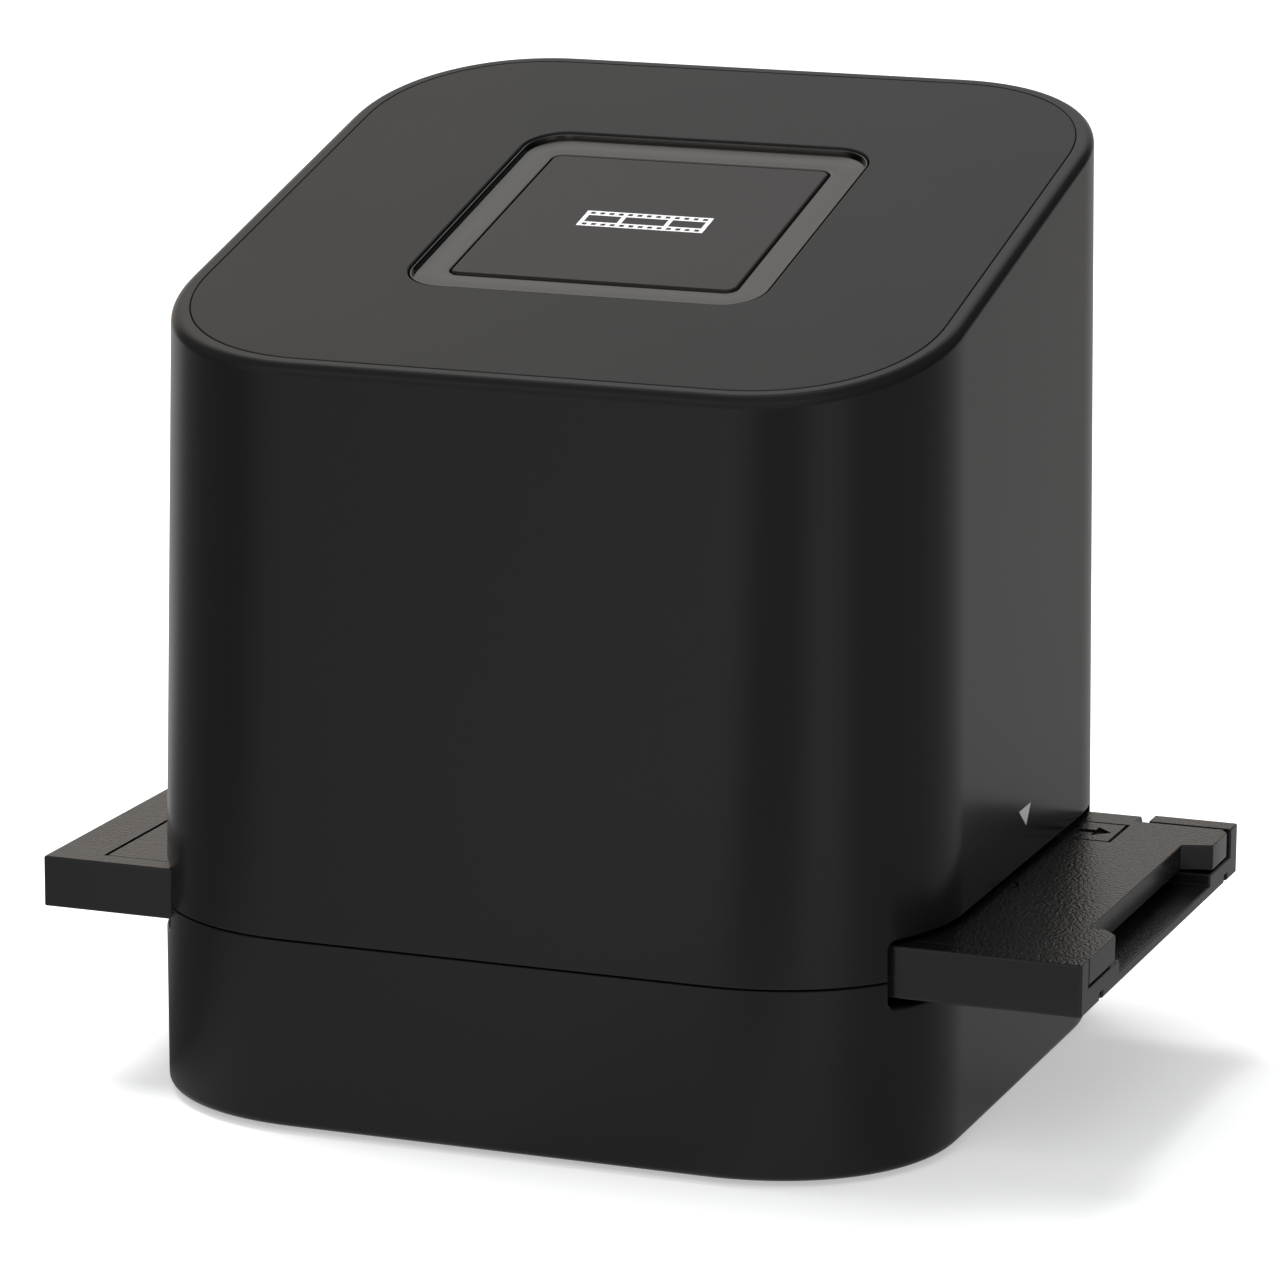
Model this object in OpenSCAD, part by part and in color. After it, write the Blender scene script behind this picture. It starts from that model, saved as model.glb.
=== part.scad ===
// Desktop film scanner: a square tower on a low base, with a film tray that slides through
// a slot in both sides. The origin is the centre of the body on the surface it stands on,
// +X is to the right, +Y to the rear and +Z up.

/* [Body] */
// Width of the body at the seam
body_w = 87; // [80:0.5:100]
// Depth of the body at the seam
body_d = 84.6; // [80:0.1:100]
// Radius of the upright corners
corner_r = 21.1; // [16:0.1:25]
// Squareness of the upright corners, 2 is a true circle
corner_power = 2.15; // [2:0.05:3]
// Height of the seam between base and tower
seam_h = 20.8; // [20:0.1:22]
// Height of the top at the front face
front_h = 80.3; // [78:0.1:95]
// Rise of the top towards the rear, in degrees
top_slope = 14.8; // [8:0.1:18]
// Draft of the tower walls, in degrees
tower_draft = 1; // [0:0.1:1.2]
// Draft of the base walls, in degrees
base_draft = 0.3; // [0:0.1:2]
// Thickness of the outer walls
wall = 2.4; // [2:0.1:2.8]
// Thickness of the base floor
floor_t = 2.4; // [2:0.1:3]
// Width of the rim round the top plate
rim_w = 1.9; // [1.6:0.1:2.2]
// Radius of the edge round the top
rim_r = 1.1; // [0.6:0.1:1.5]
// Radius of the edge round the underside
foot_edge_r = 1; // [0.5:0.1:1.5]
// Width of the open seam
seam_gap = 0.3; // [0.2:0.1:0.6]
// Height of the tongue that locates the tower on the base
tongue_h = 1.5; // [1:0.1:2]
// Thickness of that tongue
tongue_t = 1.2; // [1:0.1:1.5]

/* [Top plate and button] */
// Thickness of the top plate
plate_t = 2; // [1.5:0.1:3]
// Gap between the plate and the rim
plate_gap = 0.25; // [0.2:0.05:0.4]
// Width of the ledge that carries the plate
ledge_w = 1.9; // [1.4:0.1:2.5]
// Width of the opening in the plate
opening_w = 39.5; // [37:0.1:41]
// Length of that opening along the slope
opening_l = 41.7; // [41:0.1:44]
// Corner radius of that opening
opening_r = 4.6; // [3:0.1:6]
// Width of the button face
button_w = 31.6; // [29:0.1:33]
// Length of the button face along the slope
button_l = 32.1; // [30:0.1:34]
// Corner radius of the button face
button_r = 1.2; // [0.8:0.1:3]
// How far the button's middle lies in front of the plate's
button_shift = 0.2; // [0:0.1:3]
// Depth of the button face below the plate
button_sink = 0.65; // [0.4:0.05:1]
// Gap round the button
button_gap = 0.3; // [0.2:0.05:0.5]
// How far the button presses in
button_travel = 0.8; // [0.4:0.1:1]
// Depth of the outer edge of the frame below the plate
bezel_sink = 1; // [0.7:0.05:1.4]
// Thickness of the flange under the plate
bezel_flange_t = 1.2; // [1:0.1:1.5]
// How far the flange reaches under the plate
bezel_flange_w = 2; // [1.5:0.1:3]

/* [Film tray] */
// Length of the tray
tray_l = 114.2; // [105:0.1:125]
// How far the tray stands further out on the right than on the left, halved
tray_x = 2.3; // [0:0.05:4]
// Width of the tray
tray_w = 60.4; // [58:0.1:61]
// Place of the tray's middle line, in front of the body's
tray_y = -2.9; // [-3.5:0.1:-2.5]
// Thickness of the tray
tray_t = 5.5; // [5:0.1:5.8]
// Height of the tray's underside
tray_h = 18.9; // [18.5:0.1:19.2]
// Thickness of the lid
lid_t = 2.75; // [2.4:0.05:3]
// Slit between the lid and the ledge it lies on
lid_slit = 0.35; // [0.2:0.05:0.4]
// Gap round the lid
lid_gap = 0.15; // [0.1:0.05:0.3]
// Border of the tray at its left end
tray_end = 5.8; // [4:0.1:8]
// Border of the tray in front of the lid
tray_front = 2.55; // [2:0.05:3]
// Border of the tray behind the lid
tray_rear = 2.8; // [2.6:0.05:3.2]
// Thickness of the tray floor
tray_floor = 1.2; // [1:0.1:1.5]
// Width of the finger notch in the right end
notch_w = 35; // [28:0.5:40]
// Depth of the finger notch
notch_depth = 3.2; // [2:0.1:5]
// Length of one film frame
frame_l = 36.4; // [34:0.1:37]
// Width of one film frame
frame_w = 24.4; // [22:0.1:26]
// Pitch of the frames along the film
frame_pitch = 38; // [37.5:0.1:40]
// Width of the channel for the film strip
film_w = 35.4; // [34:0.1:37]
// Radius of the lid's hinge barrel
barrel_r = 1.35; // [1.2:0.05:1.4]
// Length of each hinge barrel
barrel_l = 15; // [10:0.5:18]
// Distance of each hinge barrel from the tray's end
barrel_in = 10.65; // [9:0.05:12]
// Space beyond the outer end of each barrel
barrel_gap = 1.65; // [0.5:0.05:2]
// Radius of the hinge pins
pin_r = 0.75; // [0.6:0.05:0.8]
// Clearance round the hinge pins
pin_gap = 0.04; // [0.02:0.01:0.06]
// Width of the guide grooves under the tray
groove_w = 1.2; // [0.8:0.1:2]
// Depth of those grooves
groove_d = 0.8; // [0.4:0.1:0.9]
// Distance of each groove from the middle of the film
groove_y = 24.3; // [22:0.1:25]
// How far the film runs behind the tray's middle line
film_shift = 1.4; // [0:0.1:2]

/* [Slot and slide] */
// Space between the slot and the tray, in front and behind
slot_side = 1.2; // [0.8:0.1:1.5]
// Space between the slot and the tray, above
slot_above = 0.65; // [0.4:0.05:1]
// Space between the slot and the tray, below
slot_below = 1.7; // [1:0.1:2]
// Gap between the tray and the bed, its fences and its ribs
slide_gap = 0.3; // [0.3:0.05:0.5]
// Thickness of the bed
bed_t = 2.2; // [2:0.1:2.4]
// Space above the tray under the film gate
gate_gap = 0.5; // [0.4:0.05:0.8]
// Thickness of the film gate
gate_t = 2; // [1.6:0.1:2.5]
// Length of the light window
window_l = 40; // [38:0.5:44]
// Width of the light window
window_w = 30; // [28:0.5:34]

/* [Optics] */
// Height of the light tunnel
tunnel_h = 27; // [24:0.5:28]
// Wall of the light tunnel
tunnel_wall = 1.6; // [1.2:0.1:2]
// Outer radius of the lens barrel
lens_r = 6; // [5:0.1:6.5]
// Length of the lens barrel
lens_l = 11; // [9:0.5:12]
// Height of the lens holder
holder_h = 12; // [12:0.5:13]
// Side of the sensor board
sensor_w = 22; // [20:0.5:26]
// Thickness of the circuit boards
board_t = 1.6; // [1:0.1:1.6]

/* [Base and screws] */
// Height of the rubber feet below the base
foot_h = 0.6; // [0.5:0.1:1.5]
// Radius of the rubber feet
foot_r = 4.5; // [3:0.1:5.5]
// Depth of the seats of the feet
foot_seat = 0.8; // [0.5:0.1:1.2]
// Shank radius of the housing screws
screw_r = 1.3; // [1:0.05:1.4]
// Shank radius of the small screws
small_r = 0.95; // [0.8:0.05:1]
// Clearance round each shank
screw_gap = 0.03; // [0.02:0.01:0.05]

/* [Hidden] */
$fn = 48;
eps = 0.01;
arc_steps = 10;
ring_n = 4 * (arc_steps + 1);

// Heights and edges that follow from the sizes above
top_mid_h = front_h + body_d / 2 * tan(top_slope);
ledge_t = 1.2;
ledge_end = 5;
seam_top = seam_h + seam_gap / 2;
seam_bottom = seam_h - seam_gap / 2;
floor_top = foot_h + floor_t;
tray_x0 = tray_x - tray_l / 2;
tray_x1 = tray_x + tray_l / 2;
tray_y0 = tray_y - tray_w / 2;
tray_y1 = tray_y + tray_w / 2;
tray_top = tray_h + tray_t;
lid_x0 = tray_x0 + tray_end;
lid_y0 = tray_y0 + tray_front;
lid_y1 = tray_y1 - tray_rear;
lid_bottom = tray_top - lid_t;
ledge_z = lid_bottom - lid_slit;
notch_x = tray_x1 - notch_depth;
film_y = tray_y + film_shift;
frame_x = (lid_x0 + notch_x) / 2;
barrel_x1 = tray_x1 - barrel_in;
channel_x0 = lid_x0 + 1.5;
pressure_gap = 0.3;
hinge_hold = 4;
pin_short = 2.4;
pressure_x0 = channel_x0 + 1;
pressure_x1 = frame_x + frame_pitch / 2 + frame_l / 2 + 4;
bed_top = tray_h - slide_gap;
bed_h = bed_top - bed_t;
gate_h = tray_top + gate_gap;
gate_top = gate_h + gate_t;
slot_z0 = tray_h - slot_below;
slot_z1 = tray_top + slot_above;
slot_y0 = tray_y0 - slot_side;
slot_y1 = tray_y1 + slot_side;
slot_in = 13.5;
slot_x = body_w / 2 - slot_in;
inside_gap = 0.3;
tongue_gap = 0.1;
tongue_inset = wall + tongue_gap;
shelf_inset = tongue_inset + tongue_t;
shelf_edge_t = 1.5;
bed_inset = shelf_inset + inside_gap;

// Fences of the bed, with the places of the screws in them
fence_gap = 0.4;
front_fence_y = tray_y0 - fence_gap;
rear_fence_y = tray_y1 + fence_gap;
front_fence_t = 4.2;
rear_fence_t = 5;
fence_half = 15;
gate_screw_x = 11;
gate_screw_y = [front_fence_y - front_fence_t / 2, rear_fence_y + rear_fence_t / 2];
rib_half = 28;
bed_screw_in = 11.5;
bed_screw_x = body_w / 2 - bed_screw_in;
bed_screw_y = [-25.5, 20.5];
bed_post_r = 3;
bed_screw_l = 8;
bed_screw_sink = 1.1;
small_head_r = 1.8;
small_head_t = 1.2;
small_l = 6;
gate_margin = 4;
gate_over = 13;

// Leaf spring in the rear fence
spring_t = 0.3;
spring_w = 3.4;
spring_half = 7.6;
spring_depth = 0.9;
spring_gap = 0.3;
spring_h = tray_h + spring_depth;
detent_r = 1.3;
detent_y = tray_y1 + 0.5;

// Bosses of the housing screws
housing_boss_r = 2.5;
front_screw = [25, tray_y0 - slide_gap - housing_boss_r];
rear_screw = [28, body_d / 2 - 8.9];
housing_screw = [for (s = [-1, 1], p = [front_screw, rear_screw]) [s * p.x, p.y]];
housing_boss_top = 40;
boss_rib_t = 1.6;
boss_rib_in = 0.4;
boss_blind = 2;
housing_screw_l = 30;
housing_head_r = 2.5;
housing_head_t = 1.6;
housing_pad_r = 4.2;
housing_pad_t = 1.5;
housing_seat = foot_h + housing_head_t + 1.2;
head_gap = 0.3;
foot_in = [14.5, 22];
foot_gap = 0.1;

// Backlight
light_board_h = floor_top + 2;
light_board_l = window_l + 10;
light_board_w = window_w + 10;
box_wall = 2;
diffuser_t = 2;
box_h = bed_h - diffuser_t - light_board_h - board_t;
led_size = [3.5, 2.8, 0.8];
light_screw = [window_l / 2 + 6.5, window_w / 2 + 2];
light_screw_l = 3;
light_post_r = 2.2;
light_ear_r = 3;

// Camera
tunnel_top = gate_top + tunnel_h;
tunnel_l0 = window_l + 2 * tunnel_wall + 2;
tunnel_w0 = window_w + 2 * tunnel_wall + 2;
tunnel_top_w = 26;
tunnel_corner_r = 2;
shelf_t = 2;
tunnel_flange_t = 2;
tunnel_screw = [tunnel_l0 / 2 + 3, tunnel_w0 / 2 - 4];
holder_top = tunnel_top + holder_h;
holder_tube_r = lens_r + 2;
holder_head_t = 5;
holder_foot_t = 1.6;
holder_foot_in = 3;
chamber_wall = 3.5;
chamber_w = sensor_w - 2 * chamber_wall;
chamber_t = 3;
lens_gap = 0.04;
lens_drop = 3;
lens_wall = 2;
sensor_t = 1.2;
sensor_screw_x = sensor_w / 2 - 2;
sensor_screw_l = 5;
chip_t = 1.2;
chip_size = [9, 8];
filter_play = 0.5;
filter_w = chamber_w - 2 * filter_play;
filter_t = 0.5;

// Main board, behind the light tunnel
main_l = 46;
main_w = 20.5;
main_gap = 1.85;
main_y = body_d / 2 - wall - main_gap - main_w / 2;
main_h = gate_top + 7;
main_screw = [main_l / 2 - 3.5, main_w / 2 - 3.5];
main_post_r = 2.5;
main_screw_l = 5;
main_chip_at = [[-16, -5], [8, -3], [9, 4.5]];
main_chip_size = [[10, 10, 1.2], [9, 6, 1], [4, 4, 1]];
usb_w = 7.7;
usb_t = 3.9;
usb_l = 9.2;
usb_play = 0.5;
usb_skin = 0.4;
usb_sink = 0.8;
usb_tongue_in = 1;

// Ribbon cables, with the places of their sockets as [y, z] in the middle plane
ribbon_t = 0.3;
ribbon_w = 6;
socket_w = 8;
socket_l = 3;
socket_h = 1.8;
cable_y = body_d / 2 - 6.4;
cable_notch_y = cable_y - 1.2;
button_ribbon_x = -11;
sensor_socket_y = film_y + sensor_w / 2 - socket_l;
main_socket_y = main_y - main_w / 2 + 3.2;
light_socket_y = film_y + light_board_w / 2 - 1.4;
sensor_ribbon_z = holder_top + sensor_t + socket_h / 2;
sensor_ribbon_out = 2.5;
sensor_ribbon_bends = [[13.5, 64.9], [17.5, 55]];
light_ribbon_bends = [[27, 0], [33, 2.5]];
button_ribbon_out = 6;
button_ribbon_bend = [29, 76];
ribbon_drop = 8;

// Button switch and its board, measured down from the plate's face
button_t = 1.8;
button_skirt = 1.2;
flange_top = plate_t + bezel_flange_t;
bezel_play = 0.15;
bezel_lip = 0.2;
hook_gap = 0.3;
hook_t = 1.2;
hook_w = 1.2;
hook_l = 8;
stem_r = 2;
stem_gap = 0.05;
plunger_top = 7.3;
plunger_r = 1.75;
plunger_l = 2.6;
plunger_gap = 0.1;
switch_top = plunger_top + button_travel + 0.5;
switch_h = 3.4;
switch_w = 6;
switch_board_top = switch_top + switch_h;
switch_board_w = 20;
post_r = 2.4;
post_gap = 0.65;
post_at = [opening_w / 2 + bezel_flange_w + post_gap + post_r, 6];
switch_board_l = 2 * (post_at.x + post_r + 0.8);
button_socket_v = switch_board_w / 2 - socket_l;

// ---- outlines and lofts -------------------------------------------------------------

// Point i of a rectangle with soft corners, counterclockwise from the right rear corner
function soft_point(i, w, d, r, power) =
    let (q = floor(i / (arc_steps + 1)),
         a = 90 * (i % (arc_steps + 1)) / arc_steps,
         c = r * pow(cos(a), 2 / power),
         s = r * pow(sin(a), 2 / power),
         x = w / 2 - r,
         y = d / 2 - r)
    q == 0 ? [x + c, y + s] :
    q == 1 ? [-x - s, y + c] :
    q == 2 ? [-x - c, -y - s] :
             [x + s, -y - c];

function soft_rect(w, d, r, power = 2) =
    [for (i = [0 : ring_n - 1]) soft_point(i, w, d, r, power)];

// The body's outline, moved inwards
function body_point(i, inset) =
    soft_point(i, body_w - 2 * inset, body_d - 2 * inset, corner_r - inset, corner_power);

function body_outline(inset) = [for (i = [0 : ring_n - 1]) body_point(i, inset)];

function at_height(points, z) = [for (p = points) [p.x, p.y, z]];

// Height of the sloped top over a place in plan
function top_z(y) = top_mid_h + y * tan(top_slope);

// Inset of the drafted tower wall at a height
function tower_inset(z) = (z - seam_h) * tan(tower_draft);

function tower_ring(inset, z) = at_height(body_outline(inset + tower_inset(z)), z);

function base_ring(inset, z) =
    at_height(body_outline(inset + (seam_h - z) * tan(base_draft)), z);

// Point i of the tower wall, a drop below the sloped top
function top_point(i, inset, drop) =
    let (z0 = top_z(body_point(i, inset).y) - drop,
         z1 = top_z(body_point(i, inset + tower_inset(z0)).y) - drop,
         p = body_point(i, inset + tower_inset(z1)))
    [p.x, p.y, top_z(p.y) - drop];

function rim_ring(inset, drop) = [for (i = [0 : ring_n - 1]) top_point(i, inset, drop)];

// The same, square to the sloped top
function pocket_ring(inset, depth) =
    [for (p = rim_ring(inset, 0))
        [p.x, p.y + depth * sin(top_slope), p.z - depth * cos(top_slope)]];

// Outline of the top plate in its own plane
function plate_outline(inset) = [for (p = rim_ring(inset, 0)) [p.x, p.y / cos(top_slope)]];

// Skins rings of equal length: a tube that closes on itself, or a solid with two ends
module loft(rings, closed = false) {
    n = len(rings[0]);
    m = len(rings);
    sides = [for (k = [0 : m - (closed ? 1 : 2)], i = [0 : n - 1])
        let (a = k * n + i, b = k * n + (i + 1) % n,
             c = ((k + 1) % m) * n + (i + 1) % n, d = ((k + 1) % m) * n + i)
        each [[a, d, c], [a, c, b]]];
    ends = closed ? [] : [[for (i = [0 : n - 1]) i],
                          [for (i = [n - 1 : -1 : 0]) (m - 1) * n + i]];
    polyhedron([for (r = rings) each r], concat(sides, ends));
}

// Children drawn in the plane of the sloped top, with its middle at the origin
module on_slope() {
    translate([0, 0, top_mid_h]) rotate([top_slope, 0, 0]) children();
}

// The same, with its middle at the button's
module at_button() {
    on_slope() translate([0, -button_shift, 0]) children();
}

module soft_block(w, d, r, z0, z1, power = 2) {
    translate([0, 0, z0]) linear_extrude(z1 - z0) polygon(soft_rect(w, d, r, power));
}

module block(x0, x1, y0, y1, z0, z1) {
    translate([x0, y0, z0]) cube([x1 - x0, y1 - y0, z1 - z0]);
}

module mirrored_pair() {
    children();
    mirror([1, 0, 0]) children();
}

module four_at(x, y) {
    for (sx = [-1, 1], sy = [-1, 1]) translate([sx * x, sy * y, 0]) children();
}

// Outline of a thin strip along the points
function strip_outline(points, t) =
    let (n = len(points),
         side = [for (k = [0 : n - 1])
            let (v = points[min(k + 1, n - 1)] - points[max(k - 1, 0)])
            [-v.y, v.x] * t / 2 / norm(v)])
    concat([for (k = [0 : n - 1]) points[k] + side[k]],
           [for (k = [n - 1 : -1 : 0]) points[k] - side[k]]);

// A ribbon cable that follows [y, z] points, with its middle at x
module ribbon(points, x = 0) {
    color([0.85, 0.85, 0.82]) translate([x, 0, 0]) rotate([90, 0, 90])
        linear_extrude(ribbon_w, center = true) polygon(strip_outline(points, ribbon_t));
}

// A pan-head screw along +Z: the head's seat is at z = 0 and the shank points up
module screw(r, l, head_r, head_t) {
    cylinder(r = r, h = l);
    difference() {
        translate([0, 0, -head_t]) cylinder(r = head_r, h = head_t);
        for (a = [0, 90]) rotate(a)
            translate([-0.6 * head_r, -0.2 * head_r, -head_t - eps])
                cube([1.2 * head_r, 0.4 * head_r, 0.5 * head_t]);
    }
}

// The space of the film slot through both sides
module slot_space() {
    mirrored_pair()
        block(slot_x, body_w, slot_y0, slot_y1, slot_z0, slot_z1);
}

// ---- housing ------------------------------------------------------------------------

module upper_housing() {
    rim_steps = [for (a = [0 : 15 : 90]) [rim_r * (1 - cos(a)), rim_r * (1 - sin(a))]];
    ledge_in = rim_w + ledge_w;
    color([0.13, 0.13, 0.14]) difference() {
        union() {
            loft(concat([tower_ring(0, seam_top)],
                        [for (s = rim_steps) rim_ring(s[0], s[1])],
                        [rim_ring(rim_w, 0),
                         pocket_ring(rim_w, plate_t),
                         pocket_ring(ledge_in, plate_t),
                         pocket_ring(ledge_in, plate_t + ledge_t),
                         rim_ring(wall, plate_t + ledge_end),
                         tower_ring(wall, seam_top)]), closed = true);
            for (p = housing_screw) housing_boss(p);
        }
        slot_space();
        for (p = housing_screw) translate([p.x, p.y, 0])
            cylinder(r = screw_r + screw_gap, h = housing_boss_top - boss_blind);
        usb_opening();
    }
}

module housing_boss(p) {
    rib_l = body_d / 2 - wall / 2 - boss_rib_in - abs(p.y);
    rib_z = seam_top + tongue_h + inside_gap;
    translate([p.x, p.y, seam_top]) cylinder(r = housing_boss_r, h = housing_boss_top - seam_top);
    translate([p.x - boss_rib_t / 2, p.y > 0 ? p.y : p.y - rib_l, rib_z])
        cube([boss_rib_t, rib_l, housing_boss_top - rib_z]);
}

module usb_opening() {
    z = main_h + board_t + usb_t / 2;
    y = body_d / 2 - wall;
    block(-usb_w / 2 - usb_play, usb_w / 2 + usb_play, y - 1, y + wall + 1,
          z - usb_t / 2 - usb_play, z + usb_t / 2 + usb_play);
}

module base_housing() {
    edge = foot_edge_r;
    color([0.12, 0.12, 0.13]) difference() {
        union() {
            loft(concat(
                [for (a = [90 : -18 : 0])
                    base_ring(edge * (1 - cos(a)), foot_h + edge * (1 - sin(a)))],
                [base_ring(0, seam_bottom),
                 base_ring(tongue_inset, seam_bottom),
                 base_ring(tongue_inset, seam_top + tongue_h),
                 base_ring(shelf_inset, seam_top + tongue_h),
                 base_ring(shelf_inset, bed_h - shelf_edge_t),
                 base_ring(wall, bed_h - 2 * shelf_edge_t),
                 base_ring(wall, floor_top)]));
            for (x = [-1, 1] * bed_screw_x, y = bed_screw_y)
                translate([x, y, floor_top - eps]) cylinder(r = bed_post_r, h = bed_h - floor_top + eps);
            for (p = housing_screw)
                translate([p.x, p.y, floor_top - eps]) {
                    cylinder(r = housing_boss_r, h = seam_top - floor_top + eps);
                    cylinder(r = housing_pad_r, h = housing_pad_t + eps);
                }
            translate([0, film_y, floor_top - eps]) four_at(light_screw.x, light_screw.y)
                cylinder(r = light_post_r, h = light_board_h - floor_top + eps);
        }
        slot_space();
        for (x = [-1, 1] * front_screw.x)
            block(x - housing_boss_r - inside_gap, x + housing_boss_r + inside_gap,
                  -body_d / 2, front_screw.y, seam_top, seam_top + tongue_h + 1);
        for (x = [-1, 1] * bed_screw_x, y = bed_screw_y)
            translate([x, y, floor_top + 2]) cylinder(r = small_r + screw_gap, h = bed_h);
        for (p = housing_screw) translate([p.x, p.y, 0]) {
            cylinder(r = screw_r + screw_gap, h = seam_top + 1);
            cylinder(r = housing_head_r + head_gap, h = housing_seat);
        }
        translate([0, film_y, floor_top + 0.4]) four_at(light_screw.x, light_screw.y)
            cylinder(r = small_r + screw_gap, h = light_board_h);
        feet_places() translate([0, 0, foot_h - eps])
            cylinder(r = foot_r + foot_gap, h = foot_seat + eps);
    }
}

module feet_places() {
    four_at(body_w / 2 - foot_in.x, body_d / 2 - foot_in.y) children();
}

module rubber_feet() {
    color([0.2, 0.2, 0.2]) feet_places()
        cylinder(r = foot_r, h = foot_h + foot_seat);
}

module housing_screws() {
    color([0.6, 0.6, 0.62]) for (p = housing_screw)
        translate([p.x, p.y, housing_seat])
            screw(screw_r, housing_screw_l, housing_head_r, housing_head_t);
}

// ---- top plate and button -----------------------------------------------------------

module top_plate() {
    color([0.2, 0.2, 0.2]) on_slope() difference() {
        union() {
            translate([0, 0, -plate_t]) linear_extrude(plate_t) difference() {
                polygon(plate_outline(rim_w + plate_gap));
                translate([0, -button_shift]) polygon(soft_rect(opening_w, opening_l, opening_r));
            }
            translate([0, -button_shift, -switch_board_top]) four_at(post_at.x, post_at.y)
                cylinder(r = post_r, h = switch_board_top - plate_t + eps);
        }
        translate([0, -button_shift, -switch_board_top - eps]) four_at(post_at.x, post_at.y)
            cylinder(r = small_r + screw_gap, h = small_l);
    }
}

module button_bezel() {
    lip = bezel_lip;
    hole_w = button_w + 2 * button_gap;
    hole_l = button_l + 2 * button_gap;
    hole_r = button_r + button_gap;
    frame_w0 = opening_w - 2 * bezel_play;
    frame_l0 = opening_l - 2 * bezel_play;
    frame_r = opening_r - bezel_play;
    wide_w = opening_w + 2 * bezel_flange_w;
    wide_l = opening_l + 2 * bezel_flange_w;
    color([0.25, 0.25, 0.25]) at_button()
        loft([at_height(soft_rect(wide_w, wide_l, opening_r + bezel_flange_w), -flange_top),
              at_height(soft_rect(wide_w, wide_l, opening_r + bezel_flange_w), -plate_t),
              at_height(soft_rect(frame_w0, frame_l0, frame_r), -plate_t),
              at_height(soft_rect(frame_w0, frame_l0, frame_r), -bezel_sink - lip),
              at_height(soft_rect(frame_w0 - 2 * lip, frame_l0 - 2 * lip, frame_r - lip),
                        -bezel_sink),
              at_height(soft_rect(hole_w + 2 * lip, hole_l + 2 * lip, hole_r + lip),
                        -button_sink),
              at_height(soft_rect(hole_w, hole_l, hole_r), -button_sink - lip),
              at_height(soft_rect(hole_w, hole_l, hole_r), -flange_top)], closed = true);
}

module scan_button() {
    hook_top = flange_top + hook_gap;
    inner_w = button_w - 2 * button_skirt;
    inner_l = button_l - 2 * button_skirt;
    color([0.17, 0.16, 0.16]) at_button() {
        difference() {
            soft_block(button_w, button_l, button_r, -hook_top - hook_t, -button_sink);
            soft_block(inner_w, inner_l, button_r / 2, -hook_top - hook_t - 1,
                       -button_sink - button_t);
        }
        translate([0, 0, -plunger_top + stem_gap])
            cylinder(r = stem_r, h = plunger_top - stem_gap - button_sink - button_t + eps);
        mirrored_pair() block(button_w / 2 - eps, button_w / 2 + hook_w,
                              -hook_l / 2, hook_l / 2, -hook_top - hook_t, -hook_top);
    }
}

module tact_switch() {
    color([0.1, 0.1, 0.1]) at_button() difference() {
        block(-switch_w / 2, switch_w / 2, -switch_w / 2, switch_w / 2,
              -switch_board_top, -switch_top);
        translate([0, 0, -plunger_top - plunger_l - button_travel - 0.3])
            cylinder(r = plunger_r + plunger_gap, h = 10);
    }
}

module switch_plunger() {
    color([0.75, 0.72, 0.68]) at_button()
        translate([0, 0, -plunger_top - plunger_l]) cylinder(r = plunger_r, h = plunger_l);
}

module button_board() {
    color([0.1, 0.35, 0.2]) at_button() difference() {
        translate([-switch_board_l / 2, -switch_board_w / 2, -switch_board_top - board_t])
            cube([switch_board_l, switch_board_w, board_t]);
        four_at(post_at.x, post_at.y) translate([0, 0, -switch_board_top - board_t - 1])
            cylinder(r = small_r + screw_gap, h = board_t + 2);
    }
}

module button_board_screws() {
    color([0.7, 0.7, 0.7]) at_button() four_at(post_at.x, post_at.y)
        translate([0, 0, -switch_board_top - board_t]) screw(small_r, small_l, small_head_r, small_head_t);
}

// ---- film slide ---------------------------------------------------------------------

module slide_bed() {
    color([0.16, 0.16, 0.17]) difference() {
        union() {
            translate([0, 0, bed_h]) linear_extrude(bed_t) polygon(body_outline(bed_inset));
            block(-fence_half, fence_half, front_fence_y - front_fence_t, front_fence_y,
                  bed_top - eps, gate_h);
            block(-fence_half, fence_half, rear_fence_y, rear_fence_y + rear_fence_t,
                  bed_top - eps, gate_h);
            for (y = [-1, 1] * groove_y)
                block(-rib_half, rib_half, film_y + y - groove_w / 2 + slide_gap,
                      film_y + y + groove_w / 2 - slide_gap,
                      bed_top - eps, tray_h + groove_d - slide_gap);
        }
        translate([0, film_y, bed_h + bed_t / 2]) cube([window_l, window_w, bed_t + 1], center = true);
        for (x = [-1, 1] * gate_screw_x, y = gate_screw_y) translate([x, y, gate_h - small_l])
            cylinder(r = small_r + screw_gap, h = small_l + 1);
        for (x = [-1, 1] * bed_screw_x, y = bed_screw_y) translate([x, y, bed_h]) {
            translate([0, 0, -1]) cylinder(r = small_r + screw_gap, h = bed_t + 2);
            translate([0, 0, bed_t - bed_screw_sink]) cylinder(r = small_head_r + head_gap, h = 2);
        }
        for (p = housing_screw) translate([p.x, p.y, bed_h - 1])
            cylinder(r = housing_boss_r + inside_gap, h = bed_t + 2);
        block(-socket_w / 2, socket_w / 2, cable_notch_y, body_d, bed_h - 1, bed_top + 1);
        block(-spring_half - spring_gap, spring_half + spring_gap, rear_fence_y - 1,
              rear_fence_y + spring_depth, spring_h - spring_gap,
              spring_h + spring_w + spring_gap);
    }
}

module bed_screws() {
    color([0.7, 0.7, 0.7]) for (x = [-1, 1] * bed_screw_x, y = bed_screw_y)
        translate([x, y, bed_top - bed_screw_sink]) rotate([180, 0, 0])
            screw(small_r, bed_screw_l, small_head_r, bed_screw_sink - 0.2);
}

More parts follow.
